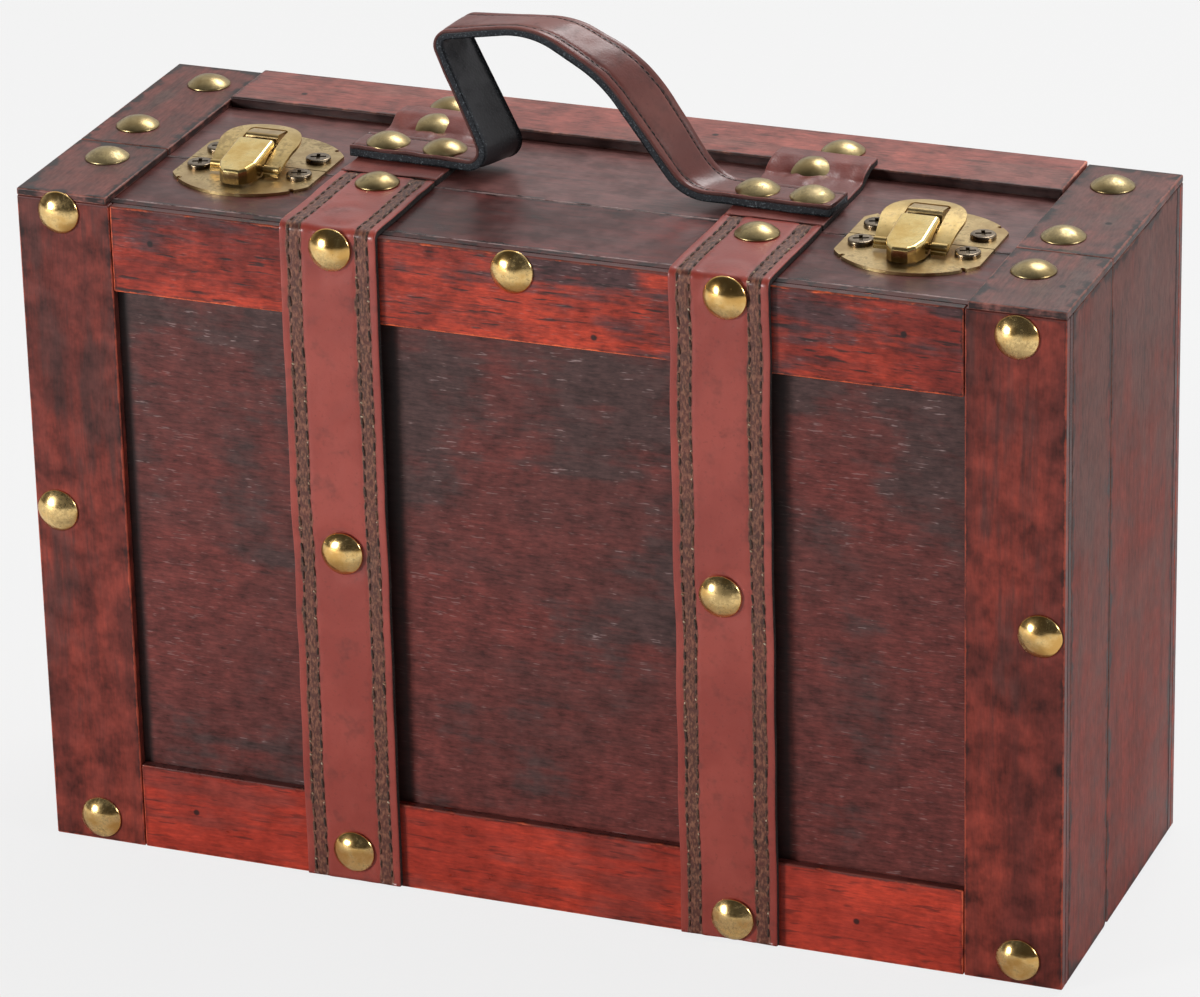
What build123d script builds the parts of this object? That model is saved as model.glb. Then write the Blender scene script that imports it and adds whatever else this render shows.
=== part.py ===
from build123d import *
import math
import os

# A wooden case that stands on its underside, in millimetres.
# Origin: middle of the underside. X along the width, Y to the back, Z up.
# The lid is the front part. It turns on two hinges at the foot of the seam.

# Case
case_width = 318.0
case_depth = 112.8
case_height = 208.6
lid_depth = 42.9
seam_gap = 0.2
wall = 8.0
panel_thickness = 3.0
edge_round = 0.5

# Frame strips on the front and the back
frame_thickness = 3.0
stile_width = 29.4
top_rail_height = 26.5
bottom_rail_height = 27.3
strip_gap = 0.2

# Strips on the top
top_strip_thickness = 2.3
top_strip_width = 28.5
rear_rail_thickness = 3.3
rear_rail_depth = 25.4

# Leather straps on the lid and pads on the box
strap_thickness = 2.0
strap_width = 29.8
strap_left_share = -0.3783
strap_right_share = 0.3673
strap_foot_height = 1.0
strap_gap = 0.3
strap_bend = 0.6
strap_end_gap = 0.8
pad_rise_length = 6.6
pad_rise_ahead = 1.6
pad_lap = 3.9
pad_bend = 4.0
pad_tack_tilt = 13.5
pad_tack_lift = 1.6

# Handle: a leather face on a thick lining, nailed down at both ends
handle_width = 14.0
handle_thickness = 3.2
handle_face = 0.8
handle_layer_gap = 0.02
handle_y = 15.2
handle_turn = -2.0
handle_left_lap = 16.4
handle_right_lap = 15.6
# Corners of each edge of the handle: along X from the middle, as a share of the distance between
# the straps, and height above the flaps
handle_near_corners = [(-0.2583, 0.0), (-0.4017, 39.0), (-0.1445, 44.5), (0.0453, 32.0), (0.2503, 0.0)]
handle_far_corners = [(-0.2086, 0.0), (-0.3815, 40.6), (-0.082, 43.6), (0.112, 33.8), (0.3018, 0.0)]
handle_bends = [5.0, 3.6, 25.0, 40.0, 14.0]

# Dome tacks
tack_radius = 6.55
tack_height = 3.1
tack_shank_radius = 0.9
tack_fit = 0.05
tack_bite = 2.4

# Hinges at the foot of the seam
lid_swing = 100.0
stop_gap = 2.0
hinge_height = 1.6
hinge_length = 30.0
hinge_inset = 64.0
knuckle_radius = 1.3
knuckle_fit = 0.25
hinge_pin_radius = 0.6
hinge_pin_fit = 0.05
leaf_thickness = 0.8
leaf_height = 5.4
leaf_fit = 0.05
hinge_screw_radius = 0.6
hinge_screw_head = 1.2
hinge_screw_head_depth = 0.5
hinge_screw_length = 7.0
hinge_screw_spacing = 18.0

# Latches
latch_left_share = 0.618
latch_right_share = 0.43
plate_width = 43.0
plate_thickness = 0.9
plate_setback = 0.15
plate_end_depth = 13.3
plate_bulge = 11.6
nick_radius = 0.8
nick_x = 17.8
screw_head_radius = 3.75
screw_head_height = 1.4
screw_shank_radius = 1.3
screw_length = 7.0
screw_fit = 0.05
screw_x = 15.8
lid_screw_y = 6.4
box_screw_y = 7.6
screw_slot_width = 1.1
screw_slot_length = 4.6
screw_slot_depth = 0.8
screw_turn = 20.0

# Latch lever: a stamped hood that turns on a pin between two ears
lever_width = 11.5
lever_sheet = 0.8
lever_length = 19.4
lever_rear_height = 8.5
lever_tip_height = 5.0
lever_clearance = 0.6
lever_nose_length = 5.5
lever_nose_width = 4.8
lever_round = 1.1
lever_rear_lip = 1.9
lever_pin_back = 3.4
lever_pin_height = 5.0
lever_pin_radius = 0.8
pin_fit = 0.05
pin_head = 0.15
ear_sheet = 0.9
ear_radius = 1.7
ear_side_gap = 0.35
ear_lean = 1.3

# Latch ring: a round plate with a slot, bent down in front, that the lever pulls over the hook
ring_sheet = 0.9
ring_radius = 12.3
ring_arm_inner = 6.15
ring_foot_outer = 10.8
ring_foot_reach = 1.5
ring_foot_drop = 1.1
ring_slot_half = 6.0
ring_pivot_ahead = 5.6
ring_pivot_drop = 2.6
ring_pivot_radius = 0.8
ring_curl_radius = 1.2
ring_rear_height = 6.7
ring_arch = 2.7
ring_bar = 3.9
ring_centre_back = 1.5

# Hook: a folded hood on the box plate, which the ring catches behind
hook_width = 10.2
hook_sheet = 1.0
hook_ahead = 2.9
hook_length = 6.0
hook_height = 8.3
hook_drop = 0.8
hook_fold = 1.2
hook_cheek = 4.4

# Places that follow from the sizes above
half_width = case_width / 2
front_y = -case_depth / 2
back_y = case_depth / 2
seam_y = front_y + lid_depth
lid_rear_y = seam_y - seam_gap / 2
box_front_y = seam_y + seam_gap / 2
top_z = case_height - top_strip_thickness
front_panel_y = front_y + frame_thickness
lid_wall_y = front_panel_y + panel_thickness
back_frame_y = back_y - frame_thickness
box_wall_y = back_frame_y - panel_thickness
inner_x = half_width - wall
stile_inner_x = half_width - stile_width
strip_inner_x = half_width - top_strip_width
rear_rail_y = back_y - rear_rail_depth
hinge_x = half_width - hinge_inset
rear_rail_top = top_z + rear_rail_thickness
top_rail_z = top_z - top_rail_height
strap_left_x = half_width * strap_left_share
strap_right_x = half_width * strap_right_share
strap_span = strap_right_x - strap_left_x
strap_middle_x = (strap_left_x + strap_right_x) / 2
strap_top_z = top_z + strap_gap + strap_thickness
strap_front_y = front_y - strap_gap - strap_thickness
strap_end_y = seam_y - strap_end_gap
pad_front_y = seam_y + strap_end_gap
pad_top_z = top_z + strap_thickness
flap_z = pad_top_z + handle_thickness / 2
flap_top_z = pad_top_z + handle_thickness
handle_centre_y = seam_y + handle_y
handle_left_end = strap_left_x - handle_left_lap
handle_right_end = strap_right_x + handle_right_lap
latch_left_room = strip_inner_x + strap_left_x - strap_width / 2 - plate_width
latch_right_room = strip_inner_x - strap_right_x - strap_width / 2 - plate_width
latch_left_x = -strip_inner_x + plate_width / 2 + latch_left_room * latch_left_share
latch_right_x = strip_inner_x - plate_width / 2 - latch_right_room * latch_right_share
plate_top = top_z + plate_thickness
lever_rear_y = lid_rear_y
lever_tip_y = lever_rear_y - lever_length
pivot_y = lever_rear_y - lever_pin_back
pivot_z = plate_top + lever_pin_height
ring_pivot_y = pivot_y - ring_pivot_ahead
ring_pivot_z = pivot_z - ring_pivot_drop
hook_front_y = box_front_y + hook_ahead
hook_rear_y = hook_front_y + hook_length
ring_centre_y = seam_y + ring_centre_back
ring_rear_y = ring_centre_y + ring_radius

# Tacks, each as a distance from the edges or the middle that it was set from
front_corner_tacks = [
    (-half_width + 13.2, top_z - 3.8),
    (half_width - 14.3, top_z - 6.5),
    (-half_width + 15.3, 7.6),
    (half_width - 13.2, 7.8),
]
front_side_tacks = [
    (-half_width + 7.1, case_height / 2 + 3.3),
    (half_width - 7.1, case_height / 2 + 6.3),
]
front_middle_tack = (-4.3, top_z - 5.2)
strap_tacks_left = [(0.9, top_z - 4.3), (0.8, case_height / 2 + 3.1), (0.5, 10.5)]
strap_tacks_right = [(2.1, top_z - 4.3), (-0.7, case_height / 2 + 6.1), (1.4, 7.8)]
box_strip_tack_left = (11.6, 15.5)
box_strip_tack_right = (17.9, 11.5)
rear_strip_tack_left = (16.8, 14.9)
rear_strip_tack_right = (16.4, 15.8)
lid_strip_tack_left = (14.6, 12.1)
lid_strip_tack_right = (18.0, 16.0)
strap_top_tack_left = (0.0, 7.7)
strap_top_tack_right = (-0.2, 12.2)
pad_tack_left = (-2.0, 4.7)
pad_tack_right = (-2.0, 5.0)
rail_tack_ahead = 14.2
rail_tack_shift_left = -2.8
rail_tack_shift_right = 2.0
handle_tacks_left = [-7.15, 11.05]
handle_tacks_right = [-9.2, 7.6]


def save(shape, node):
    shape.label = node
    export_step(shape, f"parts/{node}.step")


def board(low, high, rounding=edge_round):
    size = [b - a for a, b in zip(low, high)]
    centre = [(a + b) / 2 for a, b in zip(low, high)]
    solid = Pos(*centre) * Box(*size)
    limit = min(rounding, 0.3 * min(size))
    return fillet(solid.edges(), limit)


def side_prism(points, low_x, high_x):
    face = make_face(Polyline(*[(low_x, y, z) for y, z in points], close=True))
    return extrude(face, high_x - low_x, dir=(1, 0, 0))


def plan_prism(points, low_z, high_z):
    face = make_face(Polyline(*[(x, y, low_z) for x, y in points], close=True))
    return extrude(face, high_z - low_z, dir=(0, 0, 1))


def rod_x(radius, low_x, high_x, y, z):
    return Pos((low_x + high_x) / 2, y, z) * Rot(0, 90, 0) * Cylinder(radius, high_x - low_x)


def offset_corners(points, distance):
    """Corners of a line parallel to an open line of points, to its left when distance is positive."""
    moved = []
    for index, (x, z) in enumerate(points):
        before = points[max(index - 1, 0)]
        after = points[min(index + 1, len(points) - 1)]
        into = math.atan2(z - before[1], x - before[0]) if index else None
        out = math.atan2(after[1] - z, after[0] - x) if index < len(points) - 1 else into
        into = out if into is None else into
        middle = into + ((out - into + math.pi) % (2 * math.pi) - math.pi) / 2
        reach = distance / math.cos(middle - into)
        moved.append((x - reach * math.sin(middle), z + reach * math.cos(middle)))
    return moved


def band_wire(points, radii, low, high, plane_y):
    """Closed outline of a bent band between two distances from its middle line."""
    turns = []
    for a, b, c in zip(points, points[1:], points[2:]):
        turns.append((b[0] - a[0]) * (c[1] - b[1]) - (b[1] - a[1]) * (c[0] - b[0]))
    sides = []
    for distance in (low, high):
        corners = offset_corners(points, distance)
        bends = [r - distance if turn > 0 else r + distance for r, turn in zip(radii, turns)]
        sides.append(FilletPolyline(*[(x, plane_y, z) for x, z in corners], radius=bends))
    first = Line(sides[0] @ 0, sides[1] @ 0)
    last = Line(sides[0] @ 1, sides[1] @ 1)
    edges = sides[0].edges() + sides[1].edges() + [first.edge(), last.edge()]
    return Wire(edges)


def groove_foot():
    """The V along the foot of the seam: its faces meet when the lid is fully open."""
    half = math.radians((lid_swing + stop_gap) / 2)
    reach = 2 * hinge_height
    spread = reach * math.tan(half)
    points = [
        (seam_y, hinge_height),
        (seam_y - spread, hinge_height - reach),
        (seam_y + spread, hinge_height - reach),
    ]
    return side_prism(points, -half_width - 1, half_width + 1)


def hinge_pocket(centre_x):
    half = hinge_length / 2 + leaf_fit
    knuckles = rod_x(knuckle_radius + knuckle_fit, centre_x - half, centre_x + half, seam_y, hinge_height)
    reach = seam_gap / 2 + leaf_thickness + leaf_fit
    low = hinge_height
    high = hinge_height + leaf_height + leaf_fit
    leaves = Pos(centre_x, seam_y, (low + high) / 2) * Box(2 * half, 2 * reach, high - low)
    return knuckles + leaves


def hinge_screw_places(centre_x):
    for side in (-1, 1):
        yield centre_x + side * hinge_screw_spacing / 2, hinge_height + leaf_height * 0.62


def hinge_screw(x, z, side, fit=0.0):
    """A small flat-headed screw from the seam into one wall; side is 1 for the box and -1 for the lid."""
    face = seam_y + side * seam_gap / 2
    upward = (Align.CENTER, Align.CENTER, Align.MIN)
    head = Cylinder(hinge_screw_head + fit, hinge_screw_head_depth, align=upward)
    shank = Cylinder(hinge_screw_radius + fit, hinge_screw_length + fit, align=upward)
    return Plane(origin=(x, face, z), z_dir=(0, side, 0)).location * (head + shank)


def tack(point, normal, length):
    sphere_radius = (tack_radius ** 2 + tack_height ** 2) / (2 * tack_height)
    ball = Pos(0, 0, tack_height - sphere_radius) * Sphere(sphere_radius)
    slab = Pos(0, 0, tack_height / 2) * Box(3 * tack_radius, 3 * tack_radius, tack_height)
    shank = Cylinder(tack_shank_radius, length, align=(Align.CENTER, Align.CENTER, Align.MAX))
    return Plane(origin=point, z_dir=normal).location * ((ball & slab) + shank)


def tack_hole(point, normal, length):
    downward = (Align.CENTER, Align.CENTER, Align.MAX)
    hole = Cylinder(tack_shank_radius + tack_fit, length + tack_fit, align=downward)
    return Plane(origin=point, z_dir=normal).location * hole


class Tacks:
    """Tacks of one group and the holes that they need."""

    def __init__(self):
        self.spots = []

    def add(self, point, normal, length):
        self.spots.append((point, normal, length))

    def solids(self):
        return Compound(children=[tack(*spot) for spot in self.spots])

    def drill(self, shape):
        box = shape.bounding_box()
        for point, normal, length in self.spots:
            end = Vector(*point) - Vector(*normal) * length
            low = [min(a, b) - 1 for a, b in zip(point, end)]
            high = [max(a, b) + 1 for a, b in zip(point, end)]
            apart = any(h < b0 or l > b1 for l, h, b0, b1 in zip(low, high, box.min, box.max))
            if not apart:
                shape = shape - tack_hole(point, normal, length)
        return shape


front = (0, -1, 0)
up = (0, 0, 1)
deep_bite = frame_thickness + tack_bite
front_tacks = Tacks()
for x, z in front_corner_tacks + front_side_tacks + [front_middle_tack]:
    front_tacks.add((x, front_y, z), front, deep_bite)
for strap_x, spots in ((strap_left_x, strap_tacks_left), (strap_right_x, strap_tacks_right)):
    for x, z in spots:
        front_tacks.add((strap_x + x, strap_front_y, z), front, strap_thickness + strap_gap + deep_bite)

lid_top_tacks = Tacks()
x, ahead = lid_strip_tack_left
lid_top_tacks.add((-half_width + x, seam_y - ahead, case_height), up, top_strip_thickness + tack_bite)
x, ahead = lid_strip_tack_right
lid_top_tacks.add((half_width - x, seam_y - ahead, case_height), up, top_strip_thickness + tack_bite)
for strap_x, (x, ahead) in ((strap_left_x, strap_top_tack_left), (strap_right_x, strap_top_tack_right)):
    spot = (strap_x + x, seam_y - ahead, strap_top_z)
    lid_top_tacks.add(spot, up, strap_gap + strap_thickness + tack_bite)

box_top_tacks = Tacks()
strip_length = top_strip_thickness + tack_bite
x, ahead = rear_strip_tack_left
box_top_tacks.add((-half_width + x, back_y - ahead, case_height), up, strip_length)
x, behind = box_strip_tack_left
box_top_tacks.add((-half_width + x, seam_y + behind, case_height), up, strip_length)
x, ahead = rear_strip_tack_right
box_top_tacks.add((half_width - x, back_y - ahead, case_height), up, strip_length)
x, behind = box_strip_tack_right
box_top_tacks.add((half_width - x, seam_y + behind, case_height), up, strip_length)
for strap_x, shift in ((strap_left_x, rail_tack_shift_left), (strap_right_x, rail_tack_shift_right)):
    spot = (strap_x + shift, back_y - rail_tack_ahead, rear_rail_top)
    box_top_tacks.add(spot, up, rear_rail_thickness + tack_bite)

tilt = math.radians(pad_tack_tilt)
pad_tack_normal = (0, -math.sin(tilt), math.cos(tilt))
pad_tack_spots = []
for strap_x, (x, ahead) in ((strap_left_x, pad_tack_left), (strap_right_x, pad_tack_right)):
    pad_tack_spots.append((strap_x + x, rear_rail_y - ahead, pad_top_z + pad_tack_lift))
    box_top_tacks.add(pad_tack_spots[-1], pad_tack_normal, pad_tack_lift + strap_thickness + tack_bite)

handle_tacks = Tacks()
turn = math.radians(handle_turn)
for strap_x, places in ((strap_left_x, handle_tacks_left), (strap_right_x, handle_tacks_right)):
    for place in places:
        along = strap_x + place
        spot = (along * math.cos(turn), handle_centre_y + along * math.sin(turn), flap_top_z)
        handle_tacks.add(spot, up, handle_thickness + strap_thickness + tack_bite)


def make_walls():
    groove = groove_foot()
    pockets = [hinge_pocket(side * hinge_x) for side in (-1, 1)]
    lid_screws = []
    box_screws = []
    for side in (-1, 1):
        for x, z in hinge_screw_places(side * hinge_x):
            lid_screws.append(hinge_screw(x, z, -1, leaf_fit))
            box_screws.append(hinge_screw(x, z, 1, leaf_fit))

    for name, low_y, high_y, screws, top_holes in (
        ("lid", lid_wall_y, lid_rear_y, lid_screws, [lid_top_tacks]),
        ("box", box_front_y, box_wall_y, box_screws, [box_top_tacks, handle_tacks]),
    ):
        for side, low_x, high_x in (("left", -half_width, -inner_x), ("right", inner_x, half_width)):
            plank = board((low_x, low_y, 0), (high_x, high_y, top_z)) - groove
            for group in top_holes:
                plank = group.drill(plank)
            save(plank, f"{name}_side_{side}")
        top = board((-inner_x, low_y, top_z - wall), (inner_x, high_y, top_z))
        for group in top_holes:
            top = group.drill(top)
        for latch_x in (latch_left_x, latch_right_x):
            top = drill_plate_screws(top, latch_x, -1 if name == "lid" else 1)
        save(top, f"{name}_top")
        bottom = board((-inner_x, low_y, 0), (inner_x, high_y, wall)) - groove
        for tool in pockets + screws:
            bottom = bottom - tool
        save(bottom, f"{name}_bottom")


def make_panels():
    lid_panel = board((-half_width, front_panel_y, 0), (half_width, lid_wall_y, top_z))
    save(front_tacks.drill(lid_panel), "front_panel")
    back_panel = board((-half_width, box_wall_y, 0), (half_width, back_frame_y, top_z))
    save(box_top_tacks.drill(back_panel), "back_panel")


def make_frame(name, low_y, high_y, holes):
    inner = stile_inner_x - strip_gap
    pieces = {
        f"{name}_stile_left": ((-half_width, low_y, 0), (-stile_inner_x, high_y, top_z)),
        f"{name}_stile_right": ((stile_inner_x, low_y, 0), (half_width, high_y, top_z)),
        f"{name}_rail_top": ((-inner, low_y, top_rail_z), (inner, high_y, top_z)),
        f"{name}_rail_bottom": ((-inner, low_y, 0), (inner, high_y, bottom_rail_height)),
    }
    for node, (low, high) in pieces.items():
        piece = board(low, high)
        for group in holes:
            piece = group.drill(piece)
        save(piece, node)


def make_top_strips():
    for name, low_y, high_y, holes in (
        ("lid", front_y, lid_rear_y, lid_top_tacks),
        ("box", box_front_y, back_y, box_top_tacks),
    ):
        for side, low_x, high_x in (
            ("left", -half_width, -strip_inner_x),
            ("right", strip_inner_x, half_width),
        ):
            strip = board((low_x, low_y, top_z), (high_x, high_y, case_height))
            strip = front_tacks.drill(holes.drill(strip))
            save(strip, f"{name}_strip_{side}")
    inner = strip_inner_x - strip_gap
    rail = board((-inner, rear_rail_y, top_z), (inner, back_y, rear_rail_top))
    save(box_top_tacks.drill(rail), "rear_rail")


def make_straps():
    middle_y = front_y - strap_gap - strap_thickness / 2
    middle_z = top_z + strap_gap + strap_thickness / 2
    corners = [(middle_y, strap_foot_height), (middle_y, middle_z), (strap_end_y, middle_z)]
    half = strap_thickness / 2
    for side, strap_x in (("left", strap_left_x), ("right", strap_right_x)):
        strap = bent_strap(corners, [strap_bend + half], strap_x, strap_width, half)
        save(front_tacks.drill(lid_top_tacks.drill(strap)), f"strap_{side}")


def bent_strap(corners, radii, centre_x, width, half):
    """A flat strap of even thickness that is bent in the plane of Y and Z."""
    wire = band_wire([(y, z) for y, z in corners], radii, -half, half, 0)
    face = make_face(wire.edges())
    solid = extrude(face, width, dir=(0, 1, 0))
    return Pos(centre_x + width / 2, 0, 0) * Rot(0, 0, 90) * solid


def make_pads():
    half = strap_thickness / 2
    low_z = top_z + half
    high_z = rear_rail_top + half
    high_y = rear_rail_y - pad_rise_ahead
    low_y = high_y - pad_rise_length
    corners = [(pad_front_y, low_z), (low_y, low_z), (high_y, high_z), (rear_rail_y + pad_lap, high_z)]
    dent = Cylinder(tack_radius + tack_fit, tack_height, align=(Align.CENTER, Align.CENTER, Align.MIN))
    for side, strap_x, spot in (
        ("left", strap_left_x, pad_tack_spots[0]),
        ("right", strap_right_x, pad_tack_spots[1]),
    ):
        pad = bent_strap(corners, [pad_bend, pad_bend], strap_x, strap_width, half)
        pad = pad - Plane(origin=spot, z_dir=pad_tack_normal).location * dent
        save(box_top_tacks.drill(handle_tacks.drill(pad)), f"pad_{side}")


def handle_layer(low, high):
    wires = []
    for corners, plane_y in (
        (handle_near_corners, -handle_width / 2),
        (handle_far_corners, handle_width / 2),
    ):
        bent = [(strap_middle_x + strap_span * share, height) for share, height in corners]
        points = [(handle_left_end, 0.0), *bent, (handle_right_end, 0.0)]
        wires.append(band_wire(points, handle_bends, low, high, plane_y))
    layer = Solid.make_loft(wires, ruled=True)
    return Pos(0, handle_centre_y, flap_z) * Rot(0, 0, handle_turn) * layer


def make_handle():
    half = handle_thickness / 2
    face = handle_layer(half - handle_face, half)
    lining = handle_layer(-half, half - handle_face - handle_layer_gap)
    save(handle_tacks.drill(face), "handle_face")
    save(handle_tacks.drill(lining), "handle_lining")


def plate_screw_places(latch_x, side):
    """Middle of each screw of one plate; side is -1 for the lid's plate and 1 for the box's."""
    from_seam = box_screw_y if side == 1 else lid_screw_y
    for hand in (-1, 1):
        yield latch_x + hand * screw_x, seam_y + side * from_seam


def drill_plate_screws(shape, latch_x, side):
    for x, y in plate_screw_places(latch_x, side):
        hole = Cylinder(screw_shank_radius + screw_fit, screw_length + screw_fit,
                        align=(Align.CENTER, Align.CENTER, Align.MAX))
        shape = shape - Pos(x, y, plate_top) * hole
    return shape


def plate_blank(latch_x, side):
    """A plate with short straight ends beside the seam and a bulging far edge."""
    half = plate_width / 2
    near = seam_y + side * (seam_gap / 2 + plate_setback)
    corner = seam_y + side * plate_end_depth
    far = corner + side * plate_bulge
    outline = (
        Polyline((-half, corner), (-half, near), (half, near), (half, corner)).edges()
        + [ThreePointArc((half, corner), (0, far), (-half, corner))]
    )
    blank = extrude(make_face(outline), plate_thickness)
    rise = (far - corner) * (1 - (nick_x / half) ** 2)
    for hand in (-1, 1):
        blank = blank - Pos(hand * nick_x, corner + rise, 0) * Cylinder(nick_radius, 4 * plate_thickness)
    return drill_plate_screws(Pos(latch_x, 0, top_z) * blank, latch_x, side)


def plate_screw(x, y):
    head = Cylinder(screw_head_radius, screw_head_height, align=(Align.CENTER, Align.CENTER, Align.MIN))
    head = fillet(head.edges().group_by(Axis.Z)[-1], screw_head_height * 0.45)
    for turned in (0, 90):
        slot = Box(screw_slot_length, screw_slot_width, 2 * screw_slot_depth)
        head = head - Pos(0, 0, screw_head_height) * Rot(0, 0, turned + screw_turn) * slot
    shank = Cylinder(screw_shank_radius, screw_length, align=(Align.CENTER, Align.CENTER, Align.MAX))
    return Pos(x, y, plate_top) * (head + shank)


def ear_profile():
    """Side outline of an ear: a foot that leans back to a round head about the pin."""
    foot_z = plate_top - plate_thickness / 2
    lean = ear_lean
    head = Pos(0, pivot_y, pivot_z) * Rot(0, 90, 0) * Cylinder(ear_radius, ear_sheet)
    blade = side_prism(
        [
            (pivot_y - ear_radius, pivot_z),
            (pivot_y - ear_radius - lean, foot_z),
            (pivot_y + ear_radius - lean, foot_z),
            (pivot_y + ear_radius, pivot_z),
        ],
        -ear_sheet / 2,
        ear_sheet / 2,
    )
    return head + blade


def make_latch_plate(side, latch_x):
    plate = plate_blank(latch_x, -1)
    ear_x = lever_width / 2 - lever_sheet - ear_side_gap - ear_sheet / 2
    for hand in (-1, 1):
        plate = plate + Pos(latch_x + hand * ear_x, 0, 0) * ear_profile()
    reach = lever_width
    plate = plate - rod_x(lever_pin_radius + pin_fit, latch_x - reach, latch_x + reach, pivot_y, pivot_z)
    save(plate, f"latch_plate_{side}")


def make_lever_pin(side, latch_x):
    half = lever_width / 2 + pin_head
    save(rod_x(lever_pin_radius, latch_x - half, latch_x + half, pivot_y, pivot_z), f"lever_pin_{side}")


def lever_plan(inset):
    half = lever_width / 2 - inset
    nose = lever_nose_width / 2 - inset * 0.6
    tip = lever_tip_y + inset
    shoulder = tip + lever_nose_length
    waist = tip + lever_nose_length * 0.34
    return [
        (-half, lever_rear_y),
        (-half, shoulder),
        (-(half + nose) / 2 - 0.3, waist),
        (-nose, tip),
        (nose, tip),
        ((half + nose) / 2 + 0.3, waist),
        (half, shoulder),
        (half, lever_rear_y),
    ]


def lever_body(inset):
    low = plate_top + lever_clearance - 5 * inset
    high = plate_top + lever_rear_height
    plan = plan_prism(lever_plan(inset), low, high)
    rear_y = lever_rear_y + inset
    tip_y = lever_tip_y - 1
    slope = (lever_rear_height - lever_tip_height) / lever_length
    tip_z = plate_top + lever_rear_height - slope * (lever_rear_y - tip_y)
    side = side_prism(
        [(rear_y, low), (rear_y, high - inset), (tip_y, tip_z - inset), (tip_y, low)],
        -lever_width,
        lever_width,
    )
    return plan & side


def make_lever(side, latch_x):
    outer = lever_body(0.0)
    top_edges = outer.edges().filter_by(lambda edge: edge.center().Z > plate_top + 0.8 * lever_tip_height)
    outer = fillet(top_edges, lever_round)
    hood = outer - lever_body(lever_sheet)
    heel_radius = lever_pin_height - lever_clearance
    heel = rod_x(heel_radius, -lever_width, lever_width, pivot_y, pivot_z)
    corner = Pos(0, pivot_y + heel_radius, pivot_z - heel_radius) * Box(
        2 * lever_width, 2 * heel_radius, 2 * heel_radius)
    hood = hood - (corner - heel)
    rear_cut_top = pivot_z + lever_rear_lip
    rear_cut = Pos(0, lever_rear_y, rear_cut_top - lever_rear_height) * Box(
        lever_width - 2 * lever_sheet, 4 * lever_sheet, 2 * lever_rear_height)
    hood = hood - rear_cut
    hood = hood - rod_x(lever_pin_radius + pin_fit, -lever_width, lever_width, pivot_y, pivot_z)
    hood = hood - rod_x(ring_pivot_radius + pin_fit, -lever_width, lever_width, ring_pivot_y, ring_pivot_z)
    save(Pos(latch_x, 0, 0) * hood, f"lever_{side}")


def ring_plan():
    """Plan of the ring: a disc with two tapering arms and a slot that is open towards the lever."""
    disc = Pos(0, ring_centre_y) * Circle(ring_radius)
    arms_low = ring_pivot_y - ring_foot_reach
    foot = ring_foot_outer
    arms = make_face(
        Polyline(
            (-foot, arms_low),
            (foot, arms_low),
            (ring_radius, ring_centre_y),
            (-ring_radius, ring_centre_y),
            close=True,
        )
    )
    front_cut = Pos(0, arms_low - ring_radius) * Rectangle(4 * ring_radius, 2 * ring_radius)
    slot_rear = ring_rear_y - ring_bar
    slot = Pos(0, slot_rear - 2 * ring_radius) * Rectangle(2 * ring_slot_half, 4 * ring_radius)
    slot = fillet(slot.vertices().group_by(Axis.Y)[-1], 0.3 * ring_slot_half)
    throat_rear = hook_front_y - 1
    throat = Pos(0, throat_rear - 2 * ring_radius) * Rectangle(2 * ring_arm_inner, 4 * ring_radius)
    return (disc + arms) - front_cut - slot - throat


def make_ring(side, latch_x):
    plan = extrude(ring_plan(), 4 * ring_rear_height)
    start = (ring_pivot_y - ring_foot_reach - 1, ring_pivot_z - ring_foot_drop - 1)
    end = (ring_rear_y + 1, plate_top + ring_rear_height)
    middle = ((start[0] + end[0]) / 2, (start[1] + end[1]) / 2 + ring_arch)
    reach = 2 * ring_radius
    lines = []
    for lift in (-ring_sheet / 2, ring_sheet / 2):
        lines.append(ThreePointArc(*[(-reach, y, z + lift) for y, z in (start, middle, end)]))
    ends = [Line(lines[0] @ t, lines[1] @ t) for t in (0, 1)]
    band = extrude(make_face(lines + ends), 2 * reach, dir=(1, 0, 0))
    ring = band & (Pos(0, 0, plate_top) * plan)
    for hand in (-1, 1):
        inner_end = hand * (lever_width / 2 - lever_sheet - 0.1)
        low, high = sorted((hand * ring_arm_inner, hand * ring_foot_outer))
        ring = ring + rod_x(ring_curl_radius, low, high, ring_pivot_y, ring_pivot_z)
        low, high = sorted((inner_end, hand * (ring_arm_inner + 1)))
        ring = ring + rod_x(ring_pivot_radius, low, high, ring_pivot_y, ring_pivot_z)
    save(Pos(latch_x, 0, 0) * ring, f"ring_{side}")


def make_catch_plate(side, latch_x):
    plate = plate_blank(latch_x, 1)
    foot_z = top_z + plate_thickness / 2
    top = plate_top + hook_height
    outline = side_prism(
        [
            (hook_front_y, foot_z),
            (hook_front_y, top),
            (hook_rear_y, top - hook_drop),
            (hook_rear_y, top - hook_drop - hook_cheek),
            (hook_rear_y - hook_length * 0.4, foot_z),
        ],
        -hook_width / 2,
        hook_width / 2,
    )
    fold = outline.edges().filter_by(Axis.X).sort_by(Axis.Z)[-1]
    outline = fillet(fold, hook_fold)
    hollow_z = (foot_z + top) / 2 - hook_sheet - hook_drop
    hollow = Pos(0, hook_front_y + hook_sheet + hook_length, hollow_z) * Box(
        hook_width - 2 * hook_sheet, 2 * hook_length, top - foot_z - hook_drop)
    hook = outline - hollow
    save(plate + Pos(latch_x, 0, 0) * hook, f"catch_plate_{side}")


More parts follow.
